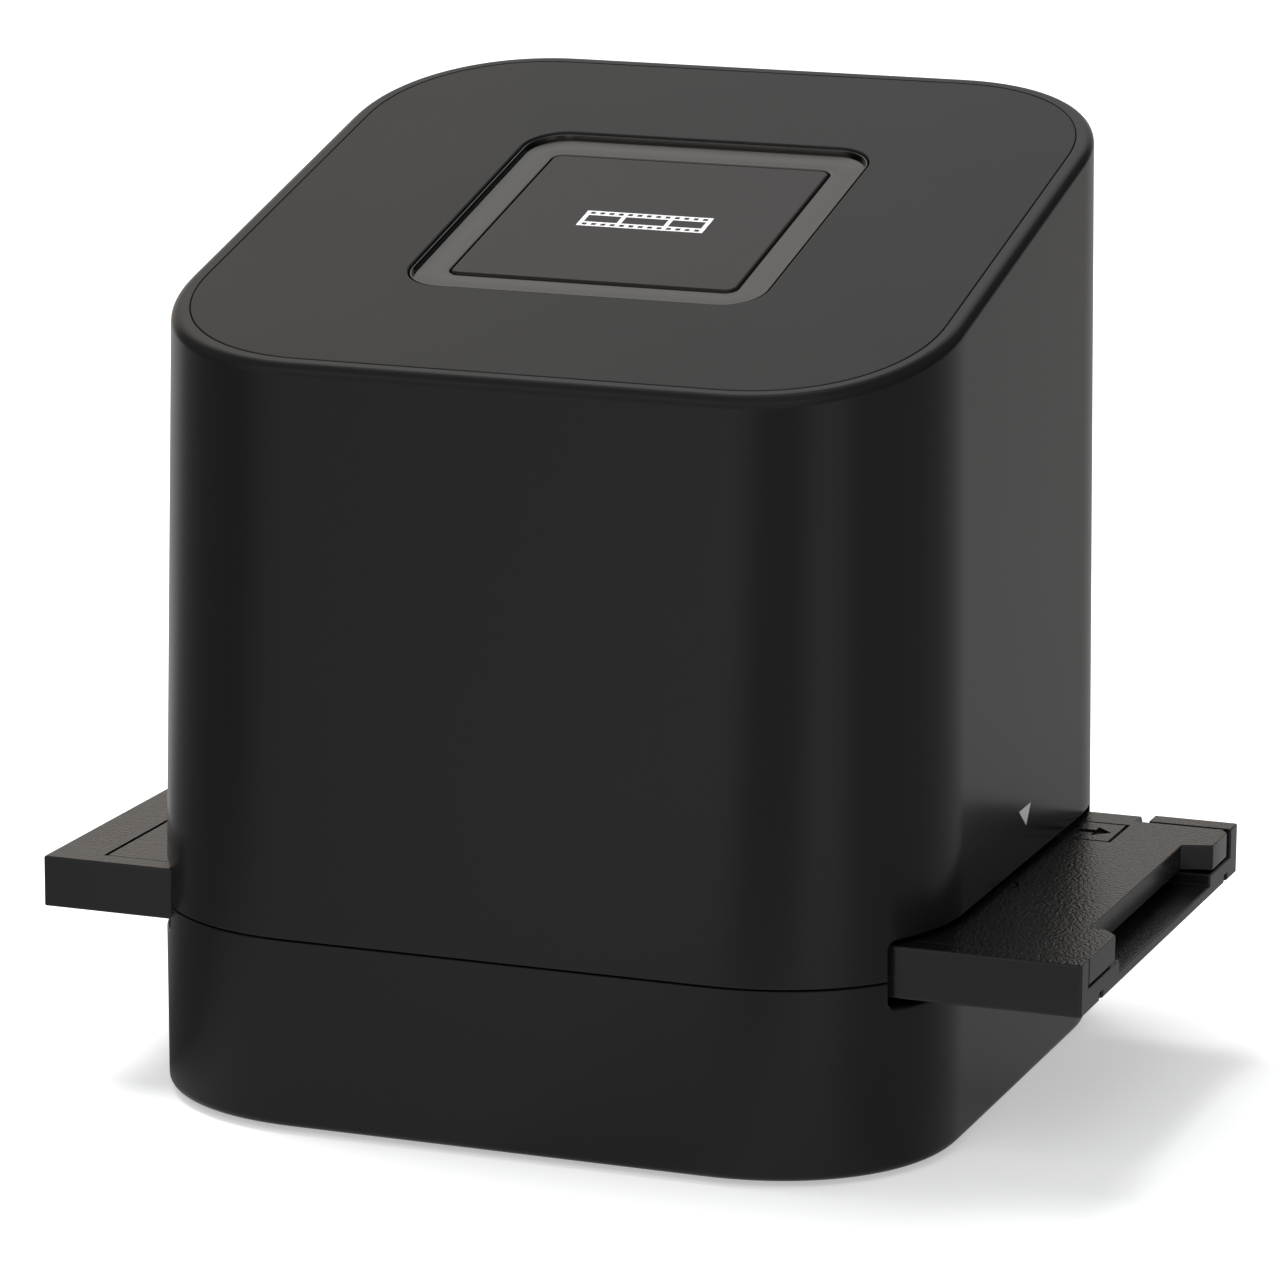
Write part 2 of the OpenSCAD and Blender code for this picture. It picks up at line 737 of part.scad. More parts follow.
module film_gate() {
    half_l = window_l / 2 + gate_over;
    color([0.15, 0.15, 0.16]) difference() {
        union() {
            block(-half_l, half_l, tray_y0 + gate_margin, tray_y1 - gate_margin,
                  gate_h, gate_top);
            block(-fence_half, fence_half, front_fence_y - front_fence_t,
                  rear_fence_y + rear_fence_t, gate_h, gate_top);
            block(-main_l / 2, main_l / 2, tray_y1 - 3 * gate_margin, rear_fence_y + rear_fence_t / 2,
                  gate_h, gate_top);
            translate([0, main_y, gate_top - eps]) four_at(main_screw.x, main_screw.y)
                cylinder(r = main_post_r, h = main_h - gate_top + eps);
            mirrored_pair() block(main_screw.x - main_post_r, main_l / 2 + 1,
                main_y - main_w / 2, main_y + main_screw.y + main_post_r, gate_h, gate_top);
        }
        translate([0, film_y, gate_h + gate_t / 2])
            cube([window_l, window_w, gate_t + 1], center = true);
        for (x = [-1, 1] * gate_screw_x, y = gate_screw_y) translate([x, y, gate_h - 1])
            cylinder(r = small_r + screw_gap, h = gate_t + 2);
        translate([0, film_y, gate_h - 1]) four_at(tunnel_screw.x, tunnel_screw.y)
            cylinder(r = small_r + screw_gap, h = gate_t + 2);
        translate([0, main_y, gate_top + 1]) four_at(main_screw.x, main_screw.y)
            cylinder(r = small_r + screw_gap, h = main_h);
    }
}

module gate_screws() {
    color([0.7, 0.7, 0.7]) for (x = [-1, 1] * gate_screw_x, y = gate_screw_y)
        translate([x, y, gate_top]) rotate([180, 0, 0])
            screw(small_r, small_l, small_head_r, small_head_t);
}

// A leaf whose bowed middle presses on the tray's rear edge and clicks into its notches
module detent_spring() {
    back = spring_depth - spring_t / 2;
    nose = spring_t / 2 - 0.1;
    half = [[spring_half, back], [5.6, back], [2.4, nose + 0.1], [0.9, nose]];
    points = concat([for (k = [3 : -1 : 0]) [-half[3 - k].x, half[3 - k].y]],
                    [for (k = [3 : -1 : 0]) half[k]]);
    color([0.75, 0.75, 0.78]) translate([0, rear_fence_y, spring_h])
        linear_extrude(spring_w) polygon(strip_outline(points, spring_t));
}

// ---- backlight ----------------------------------------------------------------------

module backlight_board() {
    color([0.92, 0.92, 0.9]) translate([0, film_y, light_board_h]) difference() {
        union() {
            translate([-light_board_l / 2, -light_board_w / 2, 0])
                cube([light_board_l, light_board_w, board_t]);
            four_at(light_screw.x, light_screw.y) cylinder(r = light_ear_r, h = board_t);
        }
        translate([0, 0, -1]) four_at(light_screw.x, light_screw.y)
            cylinder(r = small_r + screw_gap, h = board_t + 2);
    }
}

module backlight_leds() {
    color([0.95, 0.9, 0.6]) translate([0, film_y, light_board_h + board_t])
        for (x = [-1 : 1], y = [-0.5, 0.5])
            translate([x * window_l / 3, y * window_w / 2, led_size.z / 2])
                cube(led_size, center = true);
}

module backlight_screws() {
    color([0.7, 0.7, 0.7]) translate([0, film_y, light_board_h + board_t])
        four_at(light_screw.x, light_screw.y) rotate([180, 0, 0])
            screw(small_r, light_screw_l, small_head_r, small_head_t);
}

module reflector_box() {
    color([0.95, 0.95, 0.95]) translate([0, film_y, light_board_h + board_t]) difference() {
        translate([-window_l / 2 - box_wall, -window_w / 2 - box_wall, 0])
            cube([window_l + 2 * box_wall, window_w + 2 * box_wall, box_h]);
        translate([-window_l / 2, -window_w / 2, -1]) cube([window_l, window_w, box_h + 2]);
    }
}

module diffuser() {
    color([0.97, 0.97, 0.97, 0.8])
        translate([-window_l / 2 - box_wall, film_y - window_w / 2 - box_wall, bed_h - diffuser_t])
            cube([window_l + 2 * box_wall, window_w + 2 * box_wall, diffuser_t]);
}

// ---- camera -------------------------------------------------------------------------

module light_tunnel() {
    r = tunnel_corner_r;
    module flange() {
        translate([-tunnel_screw.x - 2.5, -tunnel_w0 / 2, 0])
            cube([2 * tunnel_screw.x + 5, tunnel_w0, tunnel_flange_t]);
    }
    color([0.08, 0.08, 0.08]) translate([0, film_y, gate_top]) difference() {
        union() {
            flange();
            loft([at_height(soft_rect(tunnel_l0, tunnel_w0, r), 0),
                  at_height(soft_rect(tunnel_top_w, tunnel_top_w, r), tunnel_h)]);
        }
        difference() {
            loft([at_height(soft_rect(tunnel_l0 - 2 * tunnel_wall, tunnel_w0 - 2 * tunnel_wall,
                                      r / 2), -eps),
                  at_height(soft_rect(tunnel_top_w - 2 * tunnel_wall,
                                      tunnel_top_w - 2 * tunnel_wall, r / 2), tunnel_h + eps)]);
            translate([-tunnel_l0 / 2, -tunnel_w0 / 2, tunnel_h - shelf_t])
                cube([tunnel_l0, tunnel_w0, shelf_t + 1]);
        }
        translate([0, 0, tunnel_h - shelf_t - 1])
            cylinder(r = lens_r + 0.6, h = shelf_t + 2);
        translate([0, 0, -1]) four_at(tunnel_screw.x, tunnel_screw.y)
            cylinder(r = small_r + screw_gap, h = tunnel_flange_t + 2);
    }
}

module tunnel_screws() {
    color([0.7, 0.7, 0.7]) translate([0, film_y, gate_top + tunnel_flange_t])
        four_at(tunnel_screw.x, tunnel_screw.y) rotate([180, 0, 0])
            screw(small_r, gate_t + tunnel_flange_t - 0.2, small_head_r, small_head_t);
}

module lens_holder() {
    foot_w = tunnel_top_w - 2 * holder_foot_in;
    color([0.1, 0.1, 0.1]) translate([0, film_y, tunnel_top]) difference() {
        union() {
            cylinder(r = holder_tube_r, h = holder_h - holder_head_t + 1);
            translate([-sensor_w / 2, -sensor_w / 2, holder_h - holder_head_t])
                cube([sensor_w, sensor_w, holder_head_t]);
            translate([-tunnel_top_w / 2, -foot_w / 2, 0])
                cube([tunnel_top_w, foot_w, holder_foot_t]);
        }
        translate([0, 0, -1]) cylinder(r = lens_r + lens_gap, h = holder_h);
        translate([-chamber_w / 2, -chamber_w / 2, holder_h - chamber_t])
            cube([chamber_w, chamber_w, chamber_t + 1]);
        for (x = [-1, 1] * sensor_screw_x) translate([x, 0, holder_h - holder_head_t + 0.4])
            cylinder(r = small_r + screw_gap, h = holder_head_t);
    }
}

module lens_barrel() {
    color([0.14, 0.14, 0.15]) translate([0, film_y, tunnel_top - lens_drop]) difference() {
        cylinder(r = lens_r, h = lens_l);
        translate([0, 0, -1]) cylinder(r = lens_r - lens_wall, h = lens_l + 2);
        translate([0, 0, -eps])
            cylinder(r1 = lens_r - lens_wall / 2, r2 = lens_r - lens_wall, h = 1.5);
    }
}

// Three lenses, each flat on one side and domed on the other
module lens_elements() {
    rim = lens_r - lens_wall;
    module dome(h) {
        ball = (rim * rim + h * h) / 2 / h;
        rotate_extrude() intersection() {
            translate([0, h - ball]) circle(r = ball, $fn = 96);
            square([rim, h]);
        }
    }
    color([0.6, 0.75, 0.85, 0.5]) translate([0, film_y, tunnel_top - lens_drop]) {
        translate([0, 0, 2.7]) rotate([180, 0, 0]) dome(1.1);
        translate([0, 0, 4.6]) dome(0.9);
        translate([0, 0, lens_l - 2.2]) dome(1.2);
    }
}

module infrared_filter() {
    color([0.7, 0.85, 0.9, 0.4])
        translate([-filter_w / 2, film_y - filter_w / 2, holder_top - chamber_t])
            cube([filter_w, filter_w, filter_t]);
}

module sensor_board() {
    color([0.1, 0.35, 0.2]) translate([0, film_y, holder_top]) difference() {
        translate([-sensor_w / 2, -sensor_w / 2, 0]) cube([sensor_w, sensor_w, sensor_t]);
        for (x = [-1, 1] * sensor_screw_x) translate([x, 0, -1])
            cylinder(r = small_r + screw_gap, h = sensor_t + 2);
    }
}

module sensor_chip() {
    color([0.2, 0.2, 0.22]) translate([-chip_size.x / 2, film_y - chip_size.y / 2,
                                      holder_top - chip_t])
        cube([chip_size.x, chip_size.y, chip_t]);
}

module sensor_screws() {
    color([0.7, 0.7, 0.7]) for (x = [-1, 1] * sensor_screw_x)
        translate([x, film_y, holder_top + sensor_t]) rotate([180, 0, 0])
            screw(small_r, sensor_screw_l - 0.8, small_head_r - 0.2, small_head_t);
}

// ---- electronics --------------------------------------------------------------------

module main_board() {
    color([0.1, 0.35, 0.2]) translate([0, main_y, main_h]) difference() {
        translate([-main_l / 2, -main_w / 2, 0]) cube([main_l, main_w, board_t]);
        translate([0, 0, -1]) four_at(main_screw.x, main_screw.y)
            cylinder(r = small_r + screw_gap, h = board_t + 2);
    }
}

module main_board_chips() {
    color([0.15, 0.15, 0.15]) translate([0, main_y, main_h + board_t])
        for (k = [0 : len(main_chip_at) - 1])
            translate([main_chip_at[k].x, main_chip_at[k].y, 0]) cube(main_chip_size[k]);
}

module usb_socket() {
    z = main_h + board_t;
    y1 = body_d / 2 - usb_sink;
    y0 = y1 - usb_l;
    in_w = usb_w / 2 - usb_skin;
    tongue_w = in_w - usb_tongue_in;
    color([0.75, 0.75, 0.77]) difference() {
        block(-usb_w / 2, usb_w / 2, y0, y1, z, z + usb_t);
        difference() {
            block(-in_w, in_w, y0 + usb_tongue_in, y1 + 1, z + usb_skin, z + usb_t - usb_skin);
            block(-tongue_w, tongue_w, y0, y1 - usb_tongue_in,
                  z + usb_t / 2 - usb_skin, z + usb_t / 2 + usb_skin);
        }
    }
}

module main_board_screws() {
    color([0.7, 0.7, 0.7]) translate([0, main_y, main_h + board_t])
        four_at(main_screw.x, main_screw.y) rotate([180, 0, 0])
            screw(small_r, main_screw_l, small_head_r, small_head_t);
}

// A place [y, z] in the middle plane from one in the plane of the top
function from_slope(v, z) = [v * cos(top_slope) - z * sin(top_slope),
                             top_mid_h + v * sin(top_slope) + z * cos(top_slope)];

module ribbon_sockets() {
    module socket(x, y, z) {
        translate([x - socket_w / 2, y - socket_l / 2, z]) cube([socket_w, socket_l, socket_h]);
    }
    color([0.88, 0.86, 0.8]) {
        socket(0, sensor_socket_y, holder_top + sensor_t);
        socket(0, main_socket_y, main_h + board_t);
        socket(0, light_socket_y, light_board_h + board_t);
        socket(0, cable_y, main_h - socket_h);
        socket(button_ribbon_x, cable_y, main_h + board_t);
        at_button() socket(button_ribbon_x, button_socket_v,
                           -switch_board_top - board_t - socket_h);
    }
}

module sensor_ribbon() {
    z0 = sensor_ribbon_z;
    z1 = main_h + board_t + socket_h;
    y0 = sensor_socket_y + socket_l / 2;
    ribbon(concat([[y0, z0], [y0 + sensor_ribbon_out, z0]], sensor_ribbon_bends,
                  [[main_socket_y, z1 + ribbon_drop], [main_socket_y, z1]]));
}

module backlight_ribbon() {
    z0 = light_board_h + board_t + socket_h / 2;
    ribbon(concat([[light_socket_y + socket_l / 2, z0]],
                  [for (p = light_ribbon_bends) [p.x, z0 + p.y]],
                  [[cable_y, z0 + ribbon_drop], [cable_y, main_h - socket_h]]));
}

module button_ribbon() {
    v = button_socket_v + socket_l / 2 - button_shift;
    z = -switch_board_top - board_t - socket_h / 2;
    ribbon([from_slope(v, z), from_slope(v + button_ribbon_out, z), button_ribbon_bend,
            [cable_y, button_ribbon_bend.y - ribbon_drop],
            [cable_y, main_h + board_t + socket_h]], button_ribbon_x);
}

// ---- film tray ----------------------------------------------------------------------

// Both film windows of the tray, through everything
module frame_windows() {
    for (s = [-1, 1]) translate([frame_x + s * frame_pitch / 2, film_y, 0])
        soft_block(frame_l, frame_w, 0.8, tray_h - 1, tray_top + 1);
}

// Place of each hinge barrel's inner end, and the way it runs from there
module each_hinge() {
    translate([barrel_x1 - barrel_l, tray_y1 - barrel_r, tray_top - barrel_r]) children();
    translate([2 * tray_x - barrel_x1 + barrel_l, tray_y1 - barrel_r, tray_top - barrel_r])
        mirror([1, 0, 0]) children();
}

module tray_base() {
    pocket = [barrel_l + barrel_gap, tray_rear + 1, tray_t];
    color([0.22, 0.21, 0.2]) difference() {
        translate([tray_x, tray_y, 0]) soft_block(tray_l, tray_w, 0.6, tray_h, tray_top);
        block(lid_x0, tray_x1 + 1, lid_y0, lid_y1, ledge_z, tray_top + 1);
        block(channel_x0, tray_x1 + 1, film_y - film_w / 2, film_y + film_w / 2,
              tray_h + tray_floor, tray_top);
        frame_windows();
        for (y = [-1, 1] * groove_y)
            block(tray_x0 - 1, tray_x1 + 1, film_y + y - groove_w / 2,
                  film_y + y + groove_w / 2, tray_h - 1, tray_h + groove_d);
        each_hinge() {
            translate([-lid_gap, barrel_r - tray_rear - eps, ledge_z - tray_top + barrel_r])
                cube(pocket);
            translate([-hinge_hold, 0, 0]) rotate([0, 90, 0])
                cylinder(r = pin_r + pin_gap, h = hinge_hold + 1);
        }
        for (s = [-1, 1]) translate([frame_x + s * frame_pitch / 2, detent_y, tray_h - 1])
            cylinder(r = detent_r, h = tray_t + 2);
    }
}

module tray_lid() {
    y0 = film_y - notch_w / 2;
    y1 = film_y + notch_w / 2;
    color([0.3, 0.29, 0.28]) difference() {
        union() {
            block(lid_x0 + lid_gap, tray_x1, lid_y0 + lid_gap, lid_y1 - lid_gap,
                  lid_bottom, tray_top);
            block(pressure_x0, pressure_x1, film_y - film_w / 2 + pressure_gap,
                  film_y + film_w / 2 - pressure_gap, tray_h + tray_floor + pressure_gap,
                  lid_bottom + eps);
            each_hinge() {
                rotate([0, 90, 0]) cylinder(r = barrel_r, h = barrel_l);
                translate([0, barrel_r - tray_rear - lid_gap - eps, barrel_r - lid_t])
                    cube([barrel_l, tray_rear - barrel_r + lid_gap + eps, lid_t]);
            }
        }
        frame_windows();
        translate([0, 0, tray_h]) linear_extrude(tray_t + 1)
            polygon([[notch_x, y0], [notch_x + 1.6, y0 - 0.2], [tray_x1, y0 - 2],
                     [tray_x1 + 1, y0 - 2], [tray_x1 + 1, y1 + 1.4], [notch_x, y1]]);
        each_hinge() translate([-1, 0, 0]) rotate([0, 90, 0])
            cylinder(r = pin_r + pin_gap, h = barrel_l - 1);
    }
}

module hinge_pins() {
    color([0.7, 0.7, 0.7]) each_hinge() translate([0.2 - hinge_hold, 0, 0]) rotate([0, 90, 0])
        cylinder(r = pin_r, h = barrel_l + hinge_hold - pin_short);
}

upper_housing();
base_housing();
top_plate();
button_bezel();
scan_button();
button_board();
tact_switch();
switch_plunger();
button_board_screws();
slide_bed();
bed_screws();
film_gate();
gate_screws();
detent_spring();
backlight_board();
backlight_leds();
backlight_screws();
reflector_box();
diffuser();
light_tunnel();
tunnel_screws();
lens_holder();
lens_barrel();
lens_elements();
infrared_filter();
sensor_board();
sensor_chip();
sensor_screws();
main_board();
main_board_chips();
usb_socket();
main_board_screws();
ribbon_sockets();
sensor_ribbon();
backlight_ribbon();
button_ribbon();
tray_base();
tray_lid();
hinge_pins();
rubber_feet();
housing_screws();
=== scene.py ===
# A desktop scanner for film negatives: a black moulded tower on a low base, with a
# sloping top plate, a scan button, and a film tray that slides through both sides.
# The scanner's lengths are in millimetres here, and those of the studio in metres.
import math

import bmesh
import bpy
from mathutils import Matrix, Vector


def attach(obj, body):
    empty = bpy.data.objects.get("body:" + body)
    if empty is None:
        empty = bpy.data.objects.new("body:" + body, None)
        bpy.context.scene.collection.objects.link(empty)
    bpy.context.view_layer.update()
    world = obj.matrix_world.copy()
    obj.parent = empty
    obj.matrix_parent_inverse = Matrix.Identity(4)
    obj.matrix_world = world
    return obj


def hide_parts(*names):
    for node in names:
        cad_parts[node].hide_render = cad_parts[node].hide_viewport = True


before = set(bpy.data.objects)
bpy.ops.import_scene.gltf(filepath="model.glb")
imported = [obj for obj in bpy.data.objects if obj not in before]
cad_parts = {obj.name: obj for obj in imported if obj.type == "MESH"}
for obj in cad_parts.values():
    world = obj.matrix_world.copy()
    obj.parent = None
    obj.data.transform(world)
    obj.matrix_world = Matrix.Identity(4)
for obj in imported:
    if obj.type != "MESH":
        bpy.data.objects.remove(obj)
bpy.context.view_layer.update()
scene = bpy.context.scene
scene.view_settings.view_transform = "Standard"


# ---- Camera ------------------------------------
# A long lens stands 0.65 m away, in front and to the right, and looks slightly down.
# It is held almost level, turned by less than half a degree.
MM = 0.001  # in metres
camera_place = Vector((215.49, -584.51, 188.28))
camera_yaw, camera_pitch, camera_roll = 0.35313, -0.22523, 0.00702
camera = bpy.data.objects.new("camera", bpy.data.cameras.new("camera"))
camera.data.sensor_width = 36
camera.data.lens = 168.083
camera.data.clip_start = 0.02
ahead = Vector((-math.sin(camera_yaw) * math.cos(camera_pitch),
                math.cos(camera_yaw) * math.cos(camera_pitch), math.sin(camera_pitch)))
level = Vector((math.cos(camera_yaw), math.sin(camera_yaw), 0))
upright = level.cross(ahead)
aside = math.cos(camera_roll) * level + math.sin(camera_roll) * upright
above = math.cos(camera_roll) * upright - math.sin(camera_roll) * level
camera.matrix_world = (Matrix.Translation(camera_place * MM)
                       @ Matrix((aside, above, -ahead)).transposed().to_4x4())
scene.collection.objects.link(camera)
scene.camera = camera


# ---- Table, surroundings and lamps -------------
# A matt white table top that keeps the scanner's shadow, in a white studio. One soft lamp
# hangs high on the left and a weaker, larger one in front. Grey and black cards stand all
# round and show only in the gloss: a bright one high behind, dark ones where edges turn.
def node_tree(owner):
    owner.use_nodes = True
    owner.node_tree.nodes.clear()
    return owner.node_tree


def new_material(name):
    material = bpy.data.materials.new(name)
    return material, node_tree(material)


def add(tree, kind, wires=(), **settings):
    """A node of that kind, with its settings and its input values or links."""
    node = tree.nodes.new("ShaderNode" + kind)
    for key, value in settings.items():
        setattr(node, key, value)
    for key, value in dict(wires).items():
        if isinstance(value, bpy.types.NodeSocket):
            tree.links.new(value, node.inputs[key])
        else:
            node.inputs[key].default_value = value
    return node


def own_place(tree):
    return add(tree, "TexCoord").outputs["Object"]


def put_out(tree, shader, owner="Material"):
    """Makes the shader the one that is seen."""
    tree.links.new(shader.outputs[0], add(tree, "Output" + owner).inputs["Surface"])


def math_node(tree, operation, a, b=0.0, clamp=False):
    node = add(tree, "Math", {0: a, 1: b}, operation=operation, use_clamp=clamp)
    return node.outputs[0]


def times(tree, a, b, clamp=False):
    return math_node(tree, "MULTIPLY", a, b, clamp)


def rise(tree, value, start, slope):
    """0 up to the start, and from there up to 1 at that slope."""
    return times(tree, math_node(tree, "SUBTRACT", value, start), slope, clamp=True)


def mix_colours(tree, share, a, b, how="MIX"):
    node = add(tree, "Mix", {"Factor": share, "A": a, "B": b}, data_type="RGBA", blend_type=how)
    return node.outputs["Result"]


def seen_directly(tree):
    """1 for the rays that see the background itself or its image in gloss and glass."""
    path = add(tree, "LightPath").outputs
    seen = math_node(tree, "ADD", path["Is Camera Ray"], path["Is Glossy Ray"])
    return math_node(tree, "ADD", seen, path["Is Transmission Ray"], clamp=True)


def ramp(tree, place, stops):
    """A colour that runs through stops of a place and a grey or colour."""
    node = add(tree, "ValToRGB", {0: place})
    elements = node.color_ramp.elements
    while len(elements) < len(stops):
        elements.new(0.5)
    for element, (at, tone) in zip(elements, stops):
        element.position = at
    for element, (at, tone) in zip(elements, stops):
        element.color = (*(tone if isinstance(tone, tuple) else (tone, tone, tone)), 1)
    return node.outputs[0]


world = bpy.data.worlds.new("studio")
scene.world = world
tree = node_tree(world)
air = add(tree, "Background", {"Color": (0.95, 0.97, 1.0, 1), "Strength": 0.26})
white = add(tree, "Background", {"Color": (1, 1, 1, 1)})
put_out(tree, add(tree, "MixShader", {0: seen_directly(tree), 1: air.outputs[0],
                                      2: white.outputs[0]}), "World")


def new_object(name, bm):
    mesh = bpy.data.meshes.new(name)
    bm.to_mesh(mesh)
    bm.free()
    made = bpy.data.objects.new(name, mesh)
    scene.collection.objects.link(made)
    return made


table_half = 2.5
bm = bmesh.new()
bmesh.ops.create_grid(bm, x_segments=4, y_segments=4, size=table_half)
table = new_object("table", bm)
paint, tree = new_material("white_table")
matt = add(tree, "BsdfDiffuse", {"Color": (0.86, 0.86, 0.86, 1)})
place = own_place(tree)
distance = add(tree, "VectorMath", {0: place}, operation="LENGTH").outputs["Value"]
# What is seen of the table is lifted a little near the scanner, and to white further out
lift_near, lift_from, lift_slope = 0.45, 0.4, 0.6
lifted = math_node(tree, "ADD", rise(tree, distance, lift_from, lift_slope), lift_near)
lift = add(tree, "Emission", {"Strength": times(tree, seen_directly(tree), lifted)})
put_out(tree, add(tree, "AddShader", {0: matt.outputs[0], 1: lift.outputs[0]}))
table.data.materials.append(paint)

# The cards form a dish on the table that rises to a dome, given by radius and height
card_sides = 72
card_profile = [(0.02, 0.0005), (0.06, 0.0005), (0.12, 0.0005), (0.3, 0.0005), (0.5, 0.0005),
                (0.75, 0.003), (0.95, 0.05), (1.15, 0.2), (1.3, 0.45), (1.38, 0.8), (1.35, 1.2),
                (1.15, 1.6), (0.8, 1.9), (0.4, 2.05), (0.02, 2.1)]
bm = bmesh.new()
loops = []
for radius, height in card_profile:
    loops.append([bm.verts.new((radius * math.cos(a), radius * math.sin(a), height))
                  for a in [2 * math.pi * k / card_sides for k in range(card_sides)]])
for low, high in zip(loops, loops[1:]):
    for k in range(card_sides):
        bm.faces.new((low[k - 1], low[k], high[k], high[k - 1]))
cards = new_object("cards", bm)
for kind in ("camera", "diffuse", "transmission", "volume_scatter", "shadow"):
    setattr(cards, "visible_" + kind, False)
card, tree = new_material("studio_card")
card.cycles.emission_sampling = "NONE"
side = add(tree, "SeparateXYZ", {0: own_place(tree)}).outputs
# Way round the scanner, 0.5 in front, 0.75 to the right, 0 and 1 behind
angle = math_node(tree, "ARCTAN2", side["X"], times(tree, side["Y"], -1.0))
way = math_node(tree, "ADD", math_node(tree, "DIVIDE", angle, 2 * math.pi), 0.5)
flat_place = add(tree, "CombineXYZ", {0: side["X"], 1: side["Y"]}).outputs[0]
out = add(tree, "VectorMath", {0: flat_place}, operation="LENGTH").outputs["Value"]


def around(stops):
    """Card stops given in degrees from the front, positive to the right."""
    return [((degrees + 180) / 360, tone) for degrees, tone in stops]


# Tones of the cards close to the scanner, further out on the table, and higher up
near = ramp(tree, way, around([
    (-180, 0.4), (-160, 0.5), (-116, 0.55), (-100, 0.24), (-78, 0.1), (-60, 0.08), (-45, 0.4),
    (-5, 0.5), (3, 0.42), (20, 0.4), (30, 0.5), (42, 0.48), (54, 0.26), (85, 0.22), (102, 0.27),
    (180, 0.36)]))
low = ramp(tree, way, around([
    (-180, (0.42, 0.4, 0.38)), (-160, (0.56, 0.52, 0.49)), (-116, 0.6), (-100, 0.26),
    (-76, 0.1), (-48, 0.08), (-34, 0.38), (-24, 0.44), (-13, 0.62), (-2, 0.62), (9, 0.18),
    (27, 0.18), (40, 0.62), (50, 0.62), (64, 0.22), (110, 0.22), (122, 0.24), (146, 0.37),
    (180, (0.42, 0.4, 0.38))]))
high = ramp(tree, way, around([
    (-180, 0.7), (-160, 0.77), (-145, (0.92, 0.88, 0.84)), (-122, (0.84, 0.79, 0.74)),
    (-108, 0.09), (-60, 0.05), (-42, 0.5), (20, 0.55), (60, 0.17), (110, 0.06), (158, 0.06),
    (171, 0.6), (180, 0.7)]))
floor = mix_colours(tree, rise(tree, out, start=0.08, slope=8.0), near, low)
climb = math_node(tree, "DIVIDE", side["Z"], out)
# The high card is brightest 42 to 46 degrees above the table, and warm low down
belt = ramp(tree, times(tree, climb, 0.5), [
    (0.2, (0.71, 0.66, 0.62)), (0.28, 0.62), (0.37, 0.68), (0.455, 1.0), (0.52, 1.0),
    (0.61, 0.66), (0.75, 0.4)])
high = mix_colours(tree, 1.0, high, belt, "MULTIPLY")
grey = mix_colours(tree, rise(tree, climb, start=0.06, slope=12.0), floor, high)
# Under the base the cards fade to black: painted shade, standing in for the table's shade round
# the scanner
under_base = rise(tree, out, start=0.02, slope=45.0)
put_out(tree, add(tree, "Emission", {"Color": grey, "Strength": under_base}))
cards.data.materials.append(card)


def soft_lamp(name, place, size, power):
    """A square lamp that is aimed at the scanner and doesn't show in its gloss."""
    scanner = Vector((0, 0, 0.05))
    lamp = bpy.data.objects.new(name, bpy.data.lights.new(name, "AREA"))
    lamp.data.size = size
    lamp.data.energy = power
    lamp.location = place
    lamp.rotation_euler = (scanner - Vector(place)).to_track_quat("-Z", "Y").to_euler()
    lamp.visible_glossy = False
    scene.collection.objects.link(lamp)


soft_lamp("lamp_above", place=(-0.34, 0.16, 1.12), size=0.6, power=13.5)
soft_lamp("lamp_front", place=(0.1, -1.0, 0.9), size=0.9, power=5)


# ---- Tower -------------------------------------
# The upper half of the housing: one deep black moulding, open below, with a rounded rim
# and a ledge for the top plate. The film slot and the USB socket break its walls, and four
# screws from below pull it down by the bosses inside.
BODY_W, BODY_D = 87.0, 84.6
CORNER_R, CORNER_POWER = 21.1, 2.15
SEAM_H, SEAM_GAP = 20.8, 0.16
FRONT_H, SLOPE = 80.3, math.radians(14.8)
TOWER_DRAFT, BASE_DRAFT = math.radians(1), math.radians(0.3)
WALL, TOWER_LOOPS = 2.4, (26.5, 45.0, 62.0)
RIM_W, RIM_R = 1.9, 1.1
PLATE_T, LEDGE_W, LEDGE_T = 2.0, 1.9, 1.2
TOP_MID_H = FRONT_H + BODY_D / 2 * math.tan(SLOPE)
SEAM_TOP, SEAM_BOTTOM = SEAM_H + SEAM_GAP / 2, SEAM_H - SEAM_GAP / 2
SLOT_X, SLOT_Y, SLOT_Z, SLOT_R, SLOT_MOUTH_R = 30.0, (-34.1, 28.5), (17.9, 25.0), 0.9, 0.35
TONGUE_H = 1.5
BOSS_R, BOSS_TOP, BOSS_ROOF, BOSS_RIB_T = 2.5, 40.0, 2.0, 1.6
BOSSES = [(side * x, y) for side in (-1, 1) for x, y in ((25, -35.9), (28, 33.4))]
SCREW_HOLE_R = 1.33
USB_HOLE_W, USB_HOLE_Z, USB_HOLE_R = 8.7, (35.0, 39.9), 1.2
EDGE_R, BRIM_R = 0.15, 0.15


def soft_outline(w, d, r, power=2.0, steps=16, parts=1):
    """A rectangle with soft corners, counterclockwise from the right rear corner.

    Each corner has that many steps, and each side that many parts."""
    points = []
    for sx, sy, turned in ((1, 1, False), (-1, 1, True), (-1, -1, False), (1, -1, True)):
        for k in range(steps + 1):
            share = (steps - k if turned else k) / steps
            c = r * max(math.cos(math.pi / 2 * share), 0.0) ** (2 / power)
            s = r * max(math.sin(math.pi / 2 * share), 0.0) ** (2 / power)
            points.append((sx * (w / 2 - r + c), sy * (d / 2 - r + s)))
    if parts == 1:
        return points
    filled = []
    for k, (x, y) in enumerate(points):
        filled.append((x, y))
        if k % (steps + 1) == steps:
            x1, y1 = points[(k + 1) % len(points)]
            filled += [(x + (x1 - x) * n / parts, y + (y1 - y) * n / parts)
                       for n in range(1, parts)]
    return filled


